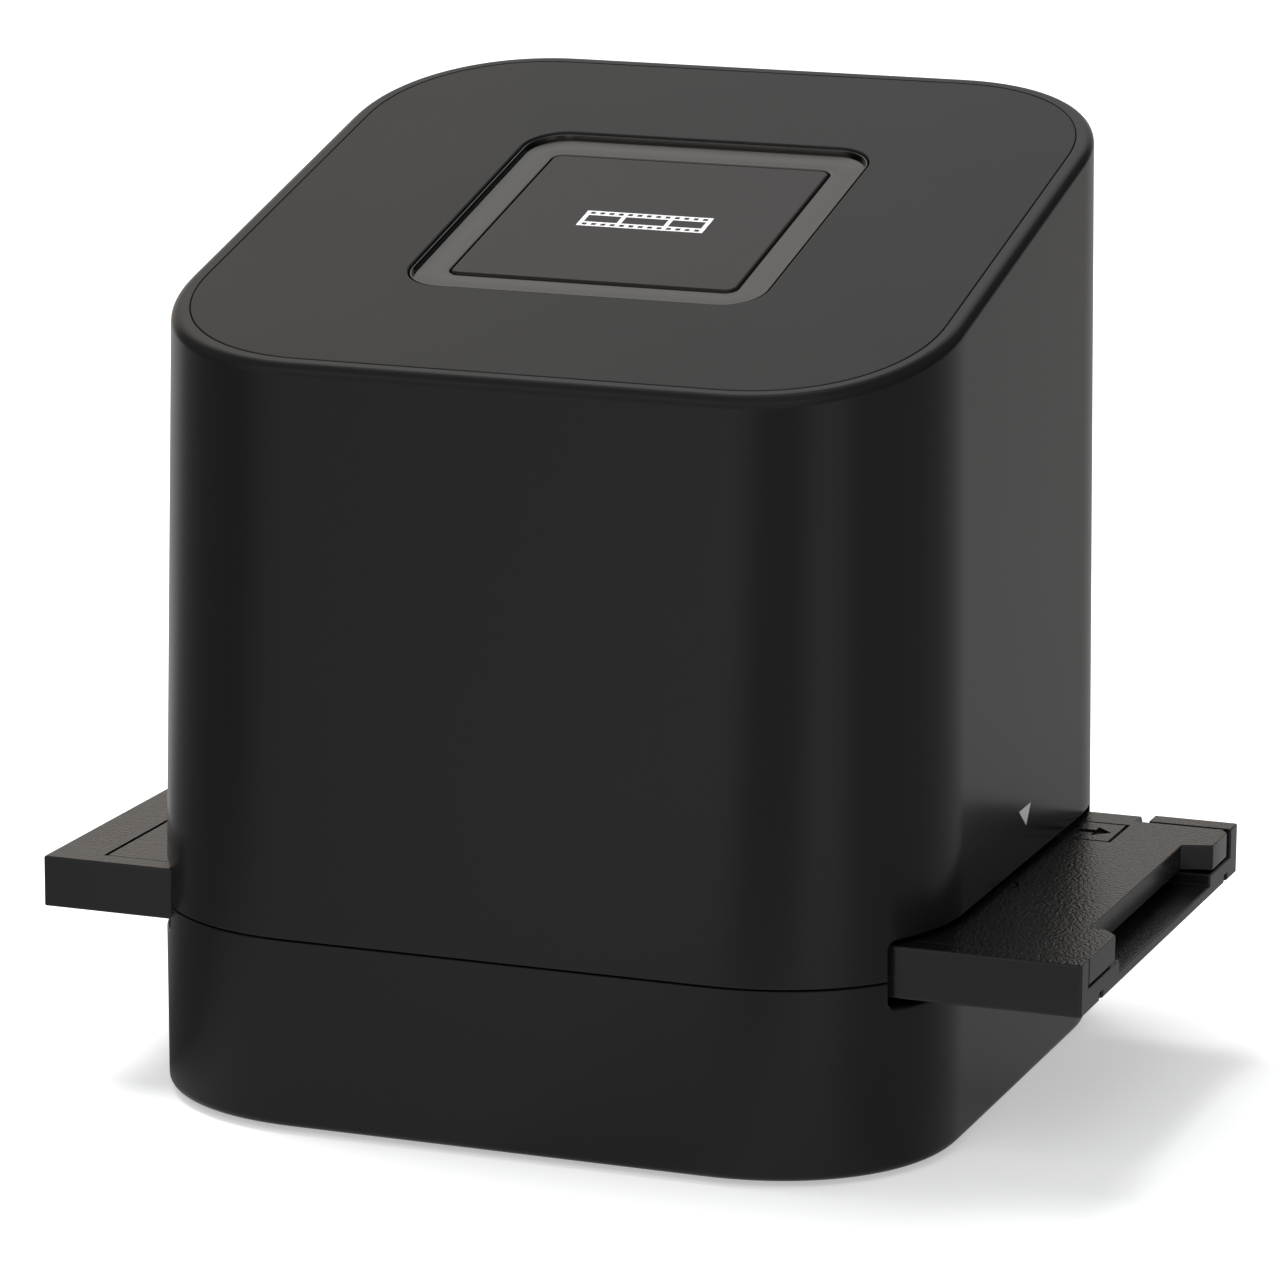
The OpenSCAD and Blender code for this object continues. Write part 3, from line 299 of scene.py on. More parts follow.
def body_outline(inset):
    return soft_outline(BODY_W - 2 * inset, BODY_D - 2 * inset, CORNER_R - inset,
                        CORNER_POWER, steps=24)


def tower_inset(z):
    return (z - SEAM_H) * math.tan(TOWER_DRAFT)


def top_z(y):
    return TOP_MID_H + y * math.tan(SLOPE)


def tower_ring(inset, z):
    return [(x, y, z) for x, y in body_outline(inset + tower_inset(z))]


def rim_ring(inset, drop):
    """The tower's outline just below its sloped top."""
    ring = []
    for k, (x, y) in enumerate(body_outline(inset)):
        for again in range(2):  # the height and the draft's inset set each other
            x, y = body_outline(inset + tower_inset(top_z(y) - drop))[k]
        ring.append((x, y, top_z(y) - drop))
    return ring


def pocket_ring(inset, depth):
    """The same, moved into the body square to the slope."""
    return [(x, y + depth * math.sin(SLOPE), z - depth * math.cos(SLOPE))
            for x, y, z in rim_ring(inset, 0)]


def turn(first, last, steps):
    """Angles from the first to the last degree."""
    return [math.radians(first + (last - first) * k / steps) for k in range(steps + 1)]


def new_piece(name, bm):
    """A piece from a mesh in millimetres, with its faces turned outwards."""
    bmesh.ops.recalc_face_normals(bm, faces=bm.faces)
    bmesh.ops.scale(bm, vec=(MM, MM, MM), verts=bm.verts)
    return new_object(name, bm)


def skin(bm, rings, closed=False):
    """Walls between rings of equal length, with end faces unless it closes on itself."""
    loops = [[bm.verts.new(point) for point in ring] for ring in rings]
    for low, high in zip(loops, loops[1:] + ([loops[0]] if closed else [])):
        for i in range(len(low)):
            j = (i + 1) % len(low)
            bm.faces.new((low[i], low[j], high[j], high[i]))
    if not closed:
        bm.faces.new(loops[0][::-1])
        bm.faces.new(loops[-1])


def add_prism(bm, outline, z):
    """The outline's upright walls between two heights, closed below and above."""
    skin(bm, [[(x, y, h) for x, y in outline] for h in z])


def add_block(bm, x, y, z):
    add_prism(bm, [(x[0], y[0]), (x[1], y[0]), (x[1], y[1]), (x[0], y[1])], z)


def circle(x, y, r):
    return [(x + r * math.cos(a), y + r * math.sin(a)) for a in turn(0, 360, 32)[:-1]]


def add_drum(bm, x, y, z, r):
    add_prism(bm, circle(x, y, r), z)


def combine(piece, tool_bm, operation="DIFFERENCE"):
    """Cuts the tool's shapes out of the piece, or joins them to it."""
    tool = new_piece("tool", tool_bm)
    step = piece.modifiers.new("combine", "BOOLEAN")
    step.solver = "EXACT"
    step.operation = operation
    step.use_self = operation == "UNION"
    step.object = tool
    graph = bpy.context.evaluated_depsgraph_get()
    result = bpy.data.meshes.new_from_object(piece.evaluated_get(graph))
    piece.modifiers.clear()
    old = piece.data
    piece.data = result
    result.name = piece.name
    bpy.data.meshes.remove(old)
    bpy.data.meshes.remove(tool.data)


WELD, SHORTEST_EDGE = 0.002 * MM, 0.001 * MM


def smooth(piece, angle=32):
    """Smooth shading that stops at the sharp edges and stays flat on the large faces."""
    bm = bmesh.new()
    bm.from_mesh(piece.data)
    bmesh.ops.remove_doubles(bm, verts=bm.verts, dist=WELD)
    bmesh.ops.dissolve_degenerate(bm, edges=bm.edges, dist=SHORTEST_EDGE)
    for edge in bm.edges:
        edge.smooth = edge.calc_face_angle(0) < math.radians(angle)
    for face in bm.faces:
        face.smooth = True
    bm.to_mesh(piece.data)
    bm.free()
    weight = piece.modifiers.new("even", "WEIGHTED_NORMAL")
    weight.keep_sharp = True
    weight.weight = 90


def wall_x(y, z):
    """Where the outer wall stands beside a place in the side view."""
    inset = tower_inset(z) if z > SEAM_H else (SEAM_H - z) * math.tan(BASE_DRAFT)
    r = CORNER_R - inset
    share = min(max((abs(y) - (BODY_D / 2 - inset - r)) / r, 0.0), 1.0)
    return BODY_W / 2 - inset - r + r * (1 - share ** CORNER_POWER) ** (1 / CORNER_POWER)


def edge_turn(r, last=90, steps=4):
    """Inset and depth of the loops that round an outer edge, from its side to its top."""
    return [(r * (1 - math.cos(a)), r * (1 - math.sin(a))) for a in turn(0, last, steps)]


def slot_tool(bm):
    """The film slot on both sides, which opens by a small radius and ends out in the air."""
    clear_of_wall = (0.8, -1.2)
    mid_y, mid_z = sum(SLOT_Y) / 2, sum(SLOT_Z) / 2
    w, h = SLOT_Y[1] - SLOT_Y[0], SLOT_Z[1] - SLOT_Z[0]
    for side in (-1, 1):
        rings = []
        for grow, depth in [(0, None)] + edge_turn(SLOT_MOUTH_R, 80, 5) + [clear_of_wall]:
            ring = []
            for u, v in soft_outline(w + 2 * grow, h + 2 * grow, SLOT_R + grow, steps=6,
                                     parts=40):
                y, z = mid_y + u, mid_z + v
                x = SLOT_X if depth is None else wall_x(y, z) - depth
                ring.append((side * x, y, z))
            rings.append(ring)
        skin(bm, rings)


brim_turn = [(RIM_W - BRIM_R + BRIM_R * math.sin(a), BRIM_R * (1 - math.cos(a)))
             for a in turn(0, 90, 4)]
bm = bmesh.new()
skin(bm, [tower_ring(inset, SEAM_TOP + climb) for inset, climb in reversed(edge_turn(EDGE_R))]
     + [tower_ring(0, z) for z in TOWER_LOOPS]
     + [rim_ring(inset, drop) for inset, drop in edge_turn(RIM_R, steps=12) + brim_turn]
     + [pocket_ring(RIM_W, PLATE_T), pocket_ring(RIM_W + LEDGE_W, PLATE_T),
        pocket_ring(RIM_W + LEDGE_W, PLATE_T + LEDGE_T), rim_ring(WALL, PLATE_T + 5),
        tower_ring(WALL, TOWER_LOOPS[0]), tower_ring(WALL, SEAM_TOP)], closed=True)
tower = new_piece("tower_shell", bm)
bm = bmesh.new()
rib_bottom = SEAM_TOP + TONGUE_H + 0.3
for x, y in BOSSES:
    out = math.copysign(BODY_D / 2 - WALL / 2 - 0.4, y)
    add_drum(bm, x, y, (SEAM_TOP, BOSS_TOP), BOSS_R)
    add_block(bm, (x - BOSS_RIB_T / 2, x + BOSS_RIB_T / 2), sorted((y, out)),
              (rib_bottom, BOSS_TOP))
combine(tower, bm, "UNION")
bm = bmesh.new()
slot_tool(bm)
for x, y in BOSSES:
    add_drum(bm, x, y, (0, BOSS_TOP - BOSS_ROOF), SCREW_HOLE_R)
usb_mid = sum(USB_HOLE_Z) / 2
usb_outline = soft_outline(USB_HOLE_W, USB_HOLE_Z[1] - USB_HOLE_Z[0], USB_HOLE_R, steps=6)
skin(bm, [[(x, y, usb_mid + z) for x, z in usb_outline]
          for y in (BODY_D / 2 - WALL - 1, BODY_D / 2 + 1)])
combine(tower, bm)
smooth(tower)


def shader_group(name, inputs, outputs):
    """A shader node group with named values, its inputs, and what its outputs are put to."""
    group = bpy.data.node_groups.new(name, "ShaderNodeTree")
    for way, labels in (("INPUT", inputs), ("OUTPUT", outputs)):
        for label in labels:
            group.interface.new_socket(label, in_out=way, socket_type="NodeSocketFloat")
    given = group.nodes.new("NodeGroupInput").outputs
    return group, given, group.nodes.new("NodeGroupOutput").inputs


def noise(tree, place, scale, detail, roughness=0.5):
    return add(tree, "TexNoise", {"Vector": place, "Scale": scale, "Detail": detail,
                                  "Roughness": roughness}).outputs[0]


# The grain that spark erosion leaves in a mould: fine shallow pits, size in millimetres
mould_grain, given, put = shader_group("mould_grain", ("Size", "Unevenness"), ("Height", "Mottle"))
tree = mould_grain
place = own_place(tree)
per_metre = math_node(tree, "DIVIDE", 1000.0, given["Size"])
pits = noise(tree, place, per_metre, 2.0, 0.6)
cells = add(tree, "TexVoronoi", {"Vector": place, "Scale": per_metre},
            feature="SMOOTH_F1").outputs["Distance"]
cell_share = 0.6
height = math_node(tree, "ADD", pits, times(tree, cells, cell_share))
tree.links.new(height, put["Height"])
clouds = math_node(tree, "SUBTRACT", noise(tree, place, 55.0, 3.0), 0.5)
tree.links.new(times(tree, clouds, given["Unevenness"]), put["Mottle"])

# Edges painted paler as a painted highlight, and the dust that settles on level faces
painted_highlight_and_dust, given, put = shader_group("painted_highlight_and_dust", ("Edge Width", "Edge Highlight", "Dust"), ("Edge Highlighted", "Dusty"))
tree = painted_highlight_and_dust
shape = add(tree, "NewGeometry").outputs
rounded = add(tree, "Bevel", {"Radius": given["Edge Width"]}, samples=4).outputs[0]
turned = add(tree, "VectorMath", {0: rounded, 1: shape["Normal"]}, operation="DOT_PRODUCT")
edge_strength, dust_evenness, dust_from, dust_slope = 6.0, 4.0, 0.62, 6.0
edge = math_node(tree, "SUBTRACT", 1.0, turned.outputs["Value"], clamp=True)
edge = times(tree, edge, edge_strength, clamp=True)
place = own_place(tree)
patchy = times(tree, noise(tree, place, 260.0, 4.0), given["Edge Highlight"])
tree.links.new(times(tree, edge, patchy), put["Edge Highlighted"])
upward = add(tree, "SeparateXYZ", {0: shape["Normal"]}).outputs["Z"]
upward = math_node(tree, "POWER", math_node(tree, "MAXIMUM", upward), dust_evenness)
specks = rise(tree, noise(tree, place, 1900.0, 3.0), dust_from, dust_slope)
dusty = times(tree, times(tree, upward, specks), given["Dust"])
tree.links.new(dusty, put["Dusty"])


def bump(tree, height, depth):
    """The surface's normal where that height is that many millimetres deep."""
    return add(tree, "Bump", {"Height": height, "Distance": depth * MM}).outputs[0]


def moulded(name, colour, roughness, grain=0.3, depth=0.006, unevenness=0.12, edge_highlight=0.5,
            dust=0.0, specular=0.5, coat=0.0, polished=None, metallic=0.0):
    """A moulded plastic: its colour, its gloss, and the size and depth of its grain.

    Where polished is given, only faces that look up have the grain, and the others
    have that lower roughness."""
    edge_width, dust_colour = 0.35 * MM, (0.42, 0.40, 0.37, 1)
    paler = [min(1.0, c * 1.9 + 0.02) for c in colour]
    material, tree = new_material(name)
    texture = add(tree, "Group", {"Size": grain, "Unevenness": unevenness}, node_tree=mould_grain)
    use = add(tree, "Group", {"Edge Width": edge_width, "Edge Highlight": edge_highlight, "Dust": dust},
              node_tree=painted_highlight_and_dust)
    # The edges take a paler colour here: a painted highlight along them
    edge_highlighted = mix_colours(tree, use.outputs["Edge Highlighted"], (*colour, 1), (*paler, 1))
    height = texture.outputs["Height"]
    gloss = math_node(tree, "ADD", roughness, texture.outputs["Mottle"])
    if polished is not None:
        facing = add(tree, "SeparateXYZ", {0: add(tree, "NewGeometry").outputs["Normal"]})
        grained = times(tree, facing.outputs["Z"], 2.0, clamp=True)
        height = times(tree, height, grained)
        gloss = add(tree, "Mix", {"Factor": grained, "A": polished, "B": gloss}).outputs["Result"]
    put_out(tree, add(tree, "BsdfPrincipled", {
        "Base Color": mix_colours(tree, use.outputs["Dusty"], edge_highlighted, dust_colour),
        "Metallic": metallic, "Roughness": gloss, "Specular IOR Level": specular,
        "Coat Weight": coat, "Coat Roughness": 0.12, "Normal": bump(tree, height, depth)}))
    return material


housing_plastic = moulded("housing_plastic", (0.011, 0.011, 0.011), 0.22, grain=0.28, depth=0.002,
                          unevenness=0.05, edge_highlight=0.2, specular=0.3)
tower.data.materials.append(housing_plastic)
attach(tower, "body")
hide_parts("upper_housing")


# ---- Printed mark on the wall ------------------
# A small white triangle pad-printed on the right wall above the slot. It shows the way in
# for the film tray.
mark_corners = ((2.23, 31.2), (-1.95, 31.12), (0.57, 29.09))
ink_faces = (-0.03, 0.015)
bm = bmesh.new()
skin(bm, [[(wall_x(y, z) + off, y, z) for y, z in mark_corners] for off in ink_faces])
way_mark = new_piece("way_mark", bm)
white_ink = moulded("white_ink", (0.9, 0.9, 0.92), 0.45, grain=0.2, depth=0.002,
                    unevenness=0.1, edge_highlight=0.0)
way_mark.data.materials.append(white_ink)
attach(way_mark, "body")


# ---- Base --------------------------------------
# The lower half of the housing: a shallow black tub whose tongue reaches up inside the
# tower. It has seats for the feet and screws below, and posts for the bed and the lamp.
FOOT_H, FLOOR_T, FOOT_EDGE_R = 0.6, 2.4, 1.0
FLOOR_TOP = FOOT_H + FLOOR_T
BED_H, BASE_LOOP = 16.4, 15.8
TONGUE_IN, TONGUE_T = WALL + 0.1, 1.2
FILM_Y = -1.5
COLLAR_R, COLLAR_H = 4.2, 1.5
BED_POSTS_X, BED_POSTS_Y, BED_POST_R = (-32, 32), (-25.5, 20.5), 3
LAMP_POSTS, LAMP_POST_R, LAMP_POST_H = (26.5, 17), 2.2, 2
SCREW_SEAT_R, SCREW_SEAT_TOP = 2.8, 3.4
FEET, FOOT_SEAT_R, FOOT_SEAT_TOP = (29, 20.3), 4.6, 1.4


def base_ring(inset, z):
    return [(x, y, z) for x, y in body_outline(inset + (SEAM_H - z) * math.tan(BASE_DRAFT))]


def four(half_x, half_y):
    """Places left and right, front and rear."""
    return [(x, y) for x in (-half_x, half_x) for y in (-half_y, half_y)]


bm = bmesh.new()
skin(bm, [base_ring(inset, FOOT_H + climb)
          for inset, climb in reversed(edge_turn(FOOT_EDGE_R, steps=8))]
     + [base_ring(0, BASE_LOOP)]
     + [base_ring(inset, SEAM_BOTTOM - drop) for inset, drop in edge_turn(EDGE_R)]
     + [base_ring(inset, z) for inset, z in (
         (TONGUE_IN, SEAM_BOTTOM), (TONGUE_IN, SEAM_TOP + TONGUE_H),
         (TONGUE_IN + TONGUE_T, SEAM_TOP + TONGUE_H), (TONGUE_IN + TONGUE_T, BED_H - 1.5),
         (WALL, BED_H - 3), (WALL, FLOOR_TOP))])
base = new_piece("base_tub", bm)
sunk = FLOOR_TOP - 0.5
bm = bmesh.new()
for x, y in BOSSES:
    add_drum(bm, x, y, (sunk, SEAM_TOP), BOSS_R)
    add_drum(bm, x, y, (sunk, FLOOR_TOP + COLLAR_H), COLLAR_R)
for x in BED_POSTS_X:
    for y in BED_POSTS_Y:
        add_drum(bm, x, y, (sunk, BED_H), BED_POST_R)
for x, y in four(*LAMP_POSTS):
    add_drum(bm, x, FILM_Y + y, (sunk, FLOOR_TOP + LAMP_POST_H), LAMP_POST_R)
combine(base, bm, "UNION")
bm = bmesh.new()
slot_tool(bm)
for x, y in BOSSES:
    add_drum(bm, x, y, (0, SEAM_TOP + 1), SCREW_HOLE_R)
    add_drum(bm, x, y, (0, SCREW_SEAT_TOP), SCREW_SEAT_R)
    if y < 0:
        add_block(bm, (x - SCREW_SEAT_R, x + SCREW_SEAT_R), (-BODY_D / 2, y),
                  (SEAM_TOP, SEAM_TOP + TONGUE_H + 1))
for x, y in four(*FEET):
    add_drum(bm, x, y, (0, FOOT_SEAT_TOP), FOOT_SEAT_R)
combine(base, bm)
smooth(base)
base.data.materials.append(housing_plastic)
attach(base, "body")
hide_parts("base_housing")


# ---- Top plate ---------------------------------
# A flat satin cover let into the rim and level with it, with an opening for the button.
# Four posts under it carry the button's circuit board.
PLATE_GAP, PLATE_EDGE_R, OPENING_EDGE_R = 0.06, 0.12, 0.26
OPENING_W, OPENING_L, OPENING_R = 39.5, 41.7, 4.6
BUTTON_SHIFT = 0.2
POSTS, POST_R, POST_HOLE_R, POST_HOLE_L = (24.8, 6.0), 2.4, 0.98, 6
SWITCH_BOARD_TOP = 12.0
CORNER_STEPS = 24
plate_plane = Matrix.Translation((0, 0, TOP_MID_H)) @ Matrix.Rotation(SLOPE, 4, "X")
button_plane = plate_plane @ Matrix.Translation((0, -BUTTON_SHIFT, 0))


def on_slope(points):
    """Points of the sloped top's own plane, with the middle at the origin."""
    return [tuple(plate_plane @ Vector(p)) for p in points]


def plate_ring(inset, depth):
    return on_slope([(x, y / math.cos(SLOPE), -depth) for x, y, z in rim_ring(inset, 0)])


def opening_ring(w, d, r, depth):
    return on_slope([(x, y - BUTTON_SHIFT, -depth)
                     for x, y in soft_outline(w, d, r, steps=CORNER_STEPS)])


plate_in = RIM_W + PLATE_GAP
bm = bmesh.new()
skin(bm, [plate_ring(plate_in, PLATE_T)]
     + [plate_ring(plate_in + inset, depth) for inset, depth in edge_turn(PLATE_EDGE_R)]
     + [opening_ring(OPENING_W + 2 * out, OPENING_L + 2 * out, OPENING_R + out, depth)
        for out, depth in reversed(edge_turn(OPENING_EDGE_R))]
     + [opening_ring(OPENING_W, OPENING_L, OPENING_R, PLATE_T)], closed=True)
plate = new_piece("top_plate_cover", bm)
for radius, bottom, top, operation in (
        (POST_R, -SWITCH_BOARD_TOP, -PLATE_T + 0.5, "UNION"),
        (POST_HOLE_R, -SWITCH_BOARD_TOP - 1, -SWITCH_BOARD_TOP + POST_HOLE_L, "DIFFERENCE")):
    bm = bmesh.new()
    for x, y in four(*POSTS):
        add_drum(bm, x, y, (bottom, top), radius)
    bmesh.ops.transform(bm, matrix=button_plane, verts=bm.verts)
    combine(plate, bm, operation)
smooth(plate)
plate_plastic = moulded("plate_plastic", (0.014, 0.014, 0.014), 0.36, grain=0.25, depth=0.002,
                        unevenness=0.05, edge_highlight=0.2, dust=0.02, specular=0.3)
plate.data.materials.append(plate_plastic)
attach(plate, "body")
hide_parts("top_plate")


# ---- Button frame ------------------------------
# A metallised frame with a satin gloss, clipped under the plate. A thin lip stands round
# its shallow dished face, and a hairline gap parts it from the button.
BUTTON_W, BUTTON_L, BUTTON_R, BUTTON_SINK, BUTTON_GAP = 31.6, 32.1, 1.2, 0.65, 0.2
FRAME_PLAY, FRAME_FLANGE_T, FRAME_FLANGE_W = 0.16, 1.2, 2.0
LIP_W, LIP_SINK, LIP_R, LIP_LEAN = 0.26, 0.16, 0.1, 0.02
FACE_OUT, FACE_IN, FACE_DISH, FACE_GROOVE = 0.58, 0.74, 0.14, 0.1
frame_w, frame_l = OPENING_W - 2 * FRAME_PLAY, OPENING_L - 2 * FRAME_PLAY
frame_r = OPENING_R - FRAME_PLAY
hole_w, hole_l = BUTTON_W + 2 * BUTTON_GAP, BUTTON_L + 2 * BUTTON_GAP
hole_r = BUTTON_R + BUTTON_GAP
flange_w, flange_l = OPENING_W + 2 * FRAME_FLANGE_W, OPENING_L + 2 * FRAME_FLANGE_W
flange_r = OPENING_R + FRAME_FLANGE_W
flange_top = PLATE_T + FRAME_FLANGE_T


def frame_ring(inset, depth):
    return opening_ring(frame_w - 2 * inset, frame_l - 2 * inset, frame_r - inset, depth)


def frame_face(share):
    """A loop on the dished face, from 0 at the lip's foot to 1 at the button."""
    w, l, r = frame_w - 2 * LIP_W, frame_l - 2 * LIP_W, frame_r - LIP_W
    depth = FACE_OUT + (FACE_IN - FACE_OUT) * share + FACE_DISH * (1 - (2 * share - 1) ** 2)
    return opening_ring(w + (hole_w - w) * share, l + (hole_l - l) * share,
                        r + (hole_r - r) * share, depth)


lip_turn = [(inset, LIP_SINK + depth) for inset, depth in edge_turn(LIP_R)]
bm = bmesh.new()
skin(bm, [opening_ring(flange_w, flange_l, flange_r, flange_top),
          opening_ring(flange_w, flange_l, flange_r, PLATE_T), frame_ring(0, PLATE_T)]
     + [frame_ring(inset, depth) for inset, depth in lip_turn]
     + [frame_ring(LIP_W - 2 * LIP_LEAN - inset, depth) for inset, depth in reversed(lip_turn)]
     + [frame_ring(LIP_W - LIP_LEAN, FACE_OUT + FACE_GROOVE)]
     + [frame_face(k / 16) for k in range(1, 16)]
     + [opening_ring(hole_w, hole_l, hole_r, FACE_IN + FACE_GROOVE),
        opening_ring(hole_w, hole_l, hole_r, flange_top)], closed=True)
bezel = new_piece("button_frame", bm)
smooth(bezel, 50)
bezel_plastic = moulded("bezel_plastic", (0.16, 0.157, 0.151), 0.2, grain=0.5, depth=0.0005,
                        unevenness=0.05, edge_highlight=0.2, metallic=1.0)
bezel.data.materials.append(bezel_plastic)
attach(bezel, "body")
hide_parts("button_bezel")


# ---- Scan button -------------------------------
# A square glossy cap with a thin skirt, a stem that pushes the switch, and a hook on each
# side that keeps it under the frame. A white printed film symbol marks it.
BUTTON_T, BUTTON_SKIRT = 1.8, 1.2
HOOK_TOP, HOOK_T, HOOK_W, HOOK_HALF = flange_top + 0.3, 1.2, 1.2, 4.0
STEM_R, STEM_END = 2.0, 7.25
cap_edge_r, cap_bottom = 0.4, HOOK_TOP + HOOK_T


def cap_ring(inset, depth):
    return [(x, y, -depth) for x, y in soft_outline(BUTTON_W - 2 * inset, BUTTON_L - 2 * inset,
                                                    BUTTON_R - inset, steps=8)]


bm = bmesh.new()
skin(bm, [cap_ring(0, cap_bottom)]
     + [cap_ring(inset, BUTTON_SINK + depth) for inset, depth in edge_turn(cap_edge_r, steps=6)])
button = new_piece("scan_button_cap", bm)
bm = bmesh.new()
add_prism(bm, soft_outline(BUTTON_W - 2 * BUTTON_SKIRT, BUTTON_L - 2 * BUTTON_SKIRT,
                           BUTTON_R / 2, steps=4), (-cap_bottom - 1, -BUTTON_SINK - BUTTON_T))
combine(button, bm)
bm = bmesh.new()
add_drum(bm, 0, 0, (-STEM_END, -BUTTON_SINK - BUTTON_T + 0.5), STEM_R)
for x in (-BUTTON_W / 2, BUTTON_W / 2):
    add_block(bm, sorted((x - math.copysign(0.5, x), x + math.copysign(HOOK_W, x))),
              (-HOOK_HALF, HOOK_HALF), (-cap_bottom, -HOOK_TOP))
combine(button, bm, "UNION")
button.data.transform(Matrix.Scale(MM, 4) @ button_plane @ Matrix.Scale(1 / MM, 4))
smooth(button)
button_plastic = moulded("button_plastic", (0.016, 0.0125, 0.0125), 0.2, grain=0.5, depth=0.0005,
                         unevenness=0.03, edge_highlight=0.2, specular=0.3)
button.data.materials.append(button_plastic)
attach(button, "button")
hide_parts("scan_button")


# ---- Printed mark on the button ----------------
# A strip of film, pad-printed on the cap in white ink: three frames between two edges
# with perforations.
def stencil(bm, xs, ys, filled, z):
    """A flat plate of the grid cells that filled() picks, with walls round every hole."""
    chosen = {(i, j) for i in range(len(xs) - 1) for j in range(len(ys) - 1) if filled(i, j)}
    verts = {}

    def corner(i, j, k):
        if (i, j, k) not in verts:
            verts[i, j, k] = bm.verts.new((xs[i], ys[j], z[k]))
        return verts[i, j, k]

    for i, j in chosen:
        square = ((i, j), (i + 1, j), (i + 1, j + 1), (i, j + 1))
        bm.faces.new([corner(a, b, 1) for a, b in square])
        bm.faces.new([corner(a, b, 0) for a, b in reversed(square)])
        for (a, b), (c, d), beyond in zip(square, square[1:] + square[:1],
                                          ((i, j - 1), (i + 1, j), (i, j + 1), (i - 1, j))):
            if beyond not in chosen:
                bm.faces.new((corner(a, b, 0), corner(c, d, 0), corner(c, d, 1), corner(a, b, 1)))


symbol_x, symbol_y = 0.4, -0.2
hole, web, holes = 0.55, 0.5, 13
across = [-(hole * holes + web * (holes + 1)) / 2]
for k in range(2 * holes + 1):
    across.append(across[-1] + (hole if k % 2 else web))
down = [-1.95, -1.7, -1.15, -0.85, 0.85, 1.15, 1.7, 1.95]
PERFORATED, PICTURES, BARS = (1, 5), 3, (0, 8, 18, 26)


def film_cell(i, j):
    """Whether ink covers the cell in that column and row."""
    if j in PERFORATED:
        return i % 2 == 0
    return j != PICTURES or i in BARS


bm = bmesh.new()
stencil(bm, [x + symbol_x for x in across], [y + symbol_y for y in down], film_cell,
        (-BUTTON_SINK - 0.02, -BUTTON_SINK + 0.012))
bmesh.ops.transform(bm, matrix=button_plane, verts=bm.verts)
film_symbol = new_piece("film_symbol", bm)
film_symbol.data.materials.append(white_ink)
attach(film_symbol, "button")


# ---- Film tray, lower half ---------------------
# A flat moulded carrier with a channel for a film strip, two film windows, guide grooves
# below and click notches in its rear edge. Sockets in its rear border hold the pins.
TRAY_X, TRAY_Y, TRAY_Z = (-54.8, 59.4), (-33.1, 27.3), (18.9, 24.4)
LID_X0, LID_Y = -49.0, (-30.55, 24.5)
LEDGE_Z, TRAY_FLOOR = 21.3, 1.2
CHANNEL_X0, FILM_HALF = -47.5, 17.7
WINDOWS_X, WINDOW_L, WINDOW_W, WINDOW_R = (-15.4, 22.6), 36.4, 24.4, 0.8
GROOVE_Y, GROOVE_W, GROOVE_D = (-25.8, 22.8), 1.2, 0.8
BARREL_R, BARREL_GAP, BARREL_PLAY, PIN_DEPTH = 1.35, 1.65, 0.15, 4
BARRELS_X = ((33.75, 48.75), (-44.15, -29.15))
HINGE_Y, HINGE_Z = 25.95, 23.05
PIN_HOLE_R, CLICK_R = 0.79, 1.3
THROUGH = (17, 26)


def film_windows(bm):
    outline = soft_outline(WINDOW_L, WINDOW_W, WINDOW_R, steps=6)
    for mid in WINDOWS_X:
        add_prism(bm, [(mid + x, FILM_Y + y) for x, y in outline], THROUGH)


def add_rod(bm, x, r):
    """A round rod along the hinge's axis."""
    skin(bm, [[(end, y, z) for y, z in circle(HINGE_Y, HINGE_Z, r)] for end in x])


def ease(piece, width, wanted):
    """Rounds the outward edges that wanted() picks by their two ends, in millimetres."""
    bm = bmesh.new()
    bm.from_mesh(piece.data)
    bmesh.ops.remove_doubles(bm, verts=bm.verts, dist=WELD)
    bmesh.ops.dissolve_limit(bm, angle_limit=math.radians(0.3), verts=bm.verts, edges=bm.edges)
    picked = [e for e in bm.edges if e.is_manifold and e.is_convex
              and e.calc_face_angle(0) > math.radians(40)
              and wanted(*sorted((tuple(v.co / MM for v in e.verts)), key=lambda p: p.x))]
    bmesh.ops.bevel(bm, geom=picked, offset=width * MM, offset_type="OFFSET", profile=0.5,
                    segments=3, affect="EDGES", clamp_overlap=False)
    bm.to_mesh(piece.data)
    bm.free()


bm = bmesh.new()
add_block(bm, TRAY_X, TRAY_Y, TRAY_Z)
tray = new_piece("tray_carrier", bm)
for x, y, z in ((LID_X0, LID_Y, (LEDGE_Z, TRAY_Z[1] + 1)),
                (CHANNEL_X0, (FILM_Y - FILM_HALF, FILM_Y + FILM_HALF),
                 (TRAY_Z[0] + TRAY_FLOOR, TRAY_Z[1]))):
    bm = bmesh.new()
    add_block(bm, (x, TRAY_X[1] + 1), y, z)
    combine(tray, bm)
bm = bmesh.new()
film_windows(bm)
for y in GROOVE_Y:
    add_block(bm, (TRAY_X[0] - 1, TRAY_X[1] + 1), (y - GROOVE_W / 2, y + GROOVE_W / 2),
              (TRAY_Z[0] - 1, TRAY_Z[0] + GROOVE_D))
for mid in WINDOWS_X:
    add_drum(bm, mid, TRAY_Y[1] + 0.5, THROUGH, CLICK_R)
combine(tray, bm)
bm = bmesh.new()
(right_in, right_out), (left_out, left_in) = BARRELS_X
for x in ((right_in - BARREL_PLAY, right_out + BARREL_GAP - BARREL_PLAY),
          (left_out - BARREL_GAP + BARREL_PLAY, left_in + BARREL_PLAY)):
    add_block(bm, x, (LID_Y[1] - 0.01, TRAY_Y[1] + 1), (LEDGE_Z, TRAY_Z[1] + 1))
combine(tray, bm)
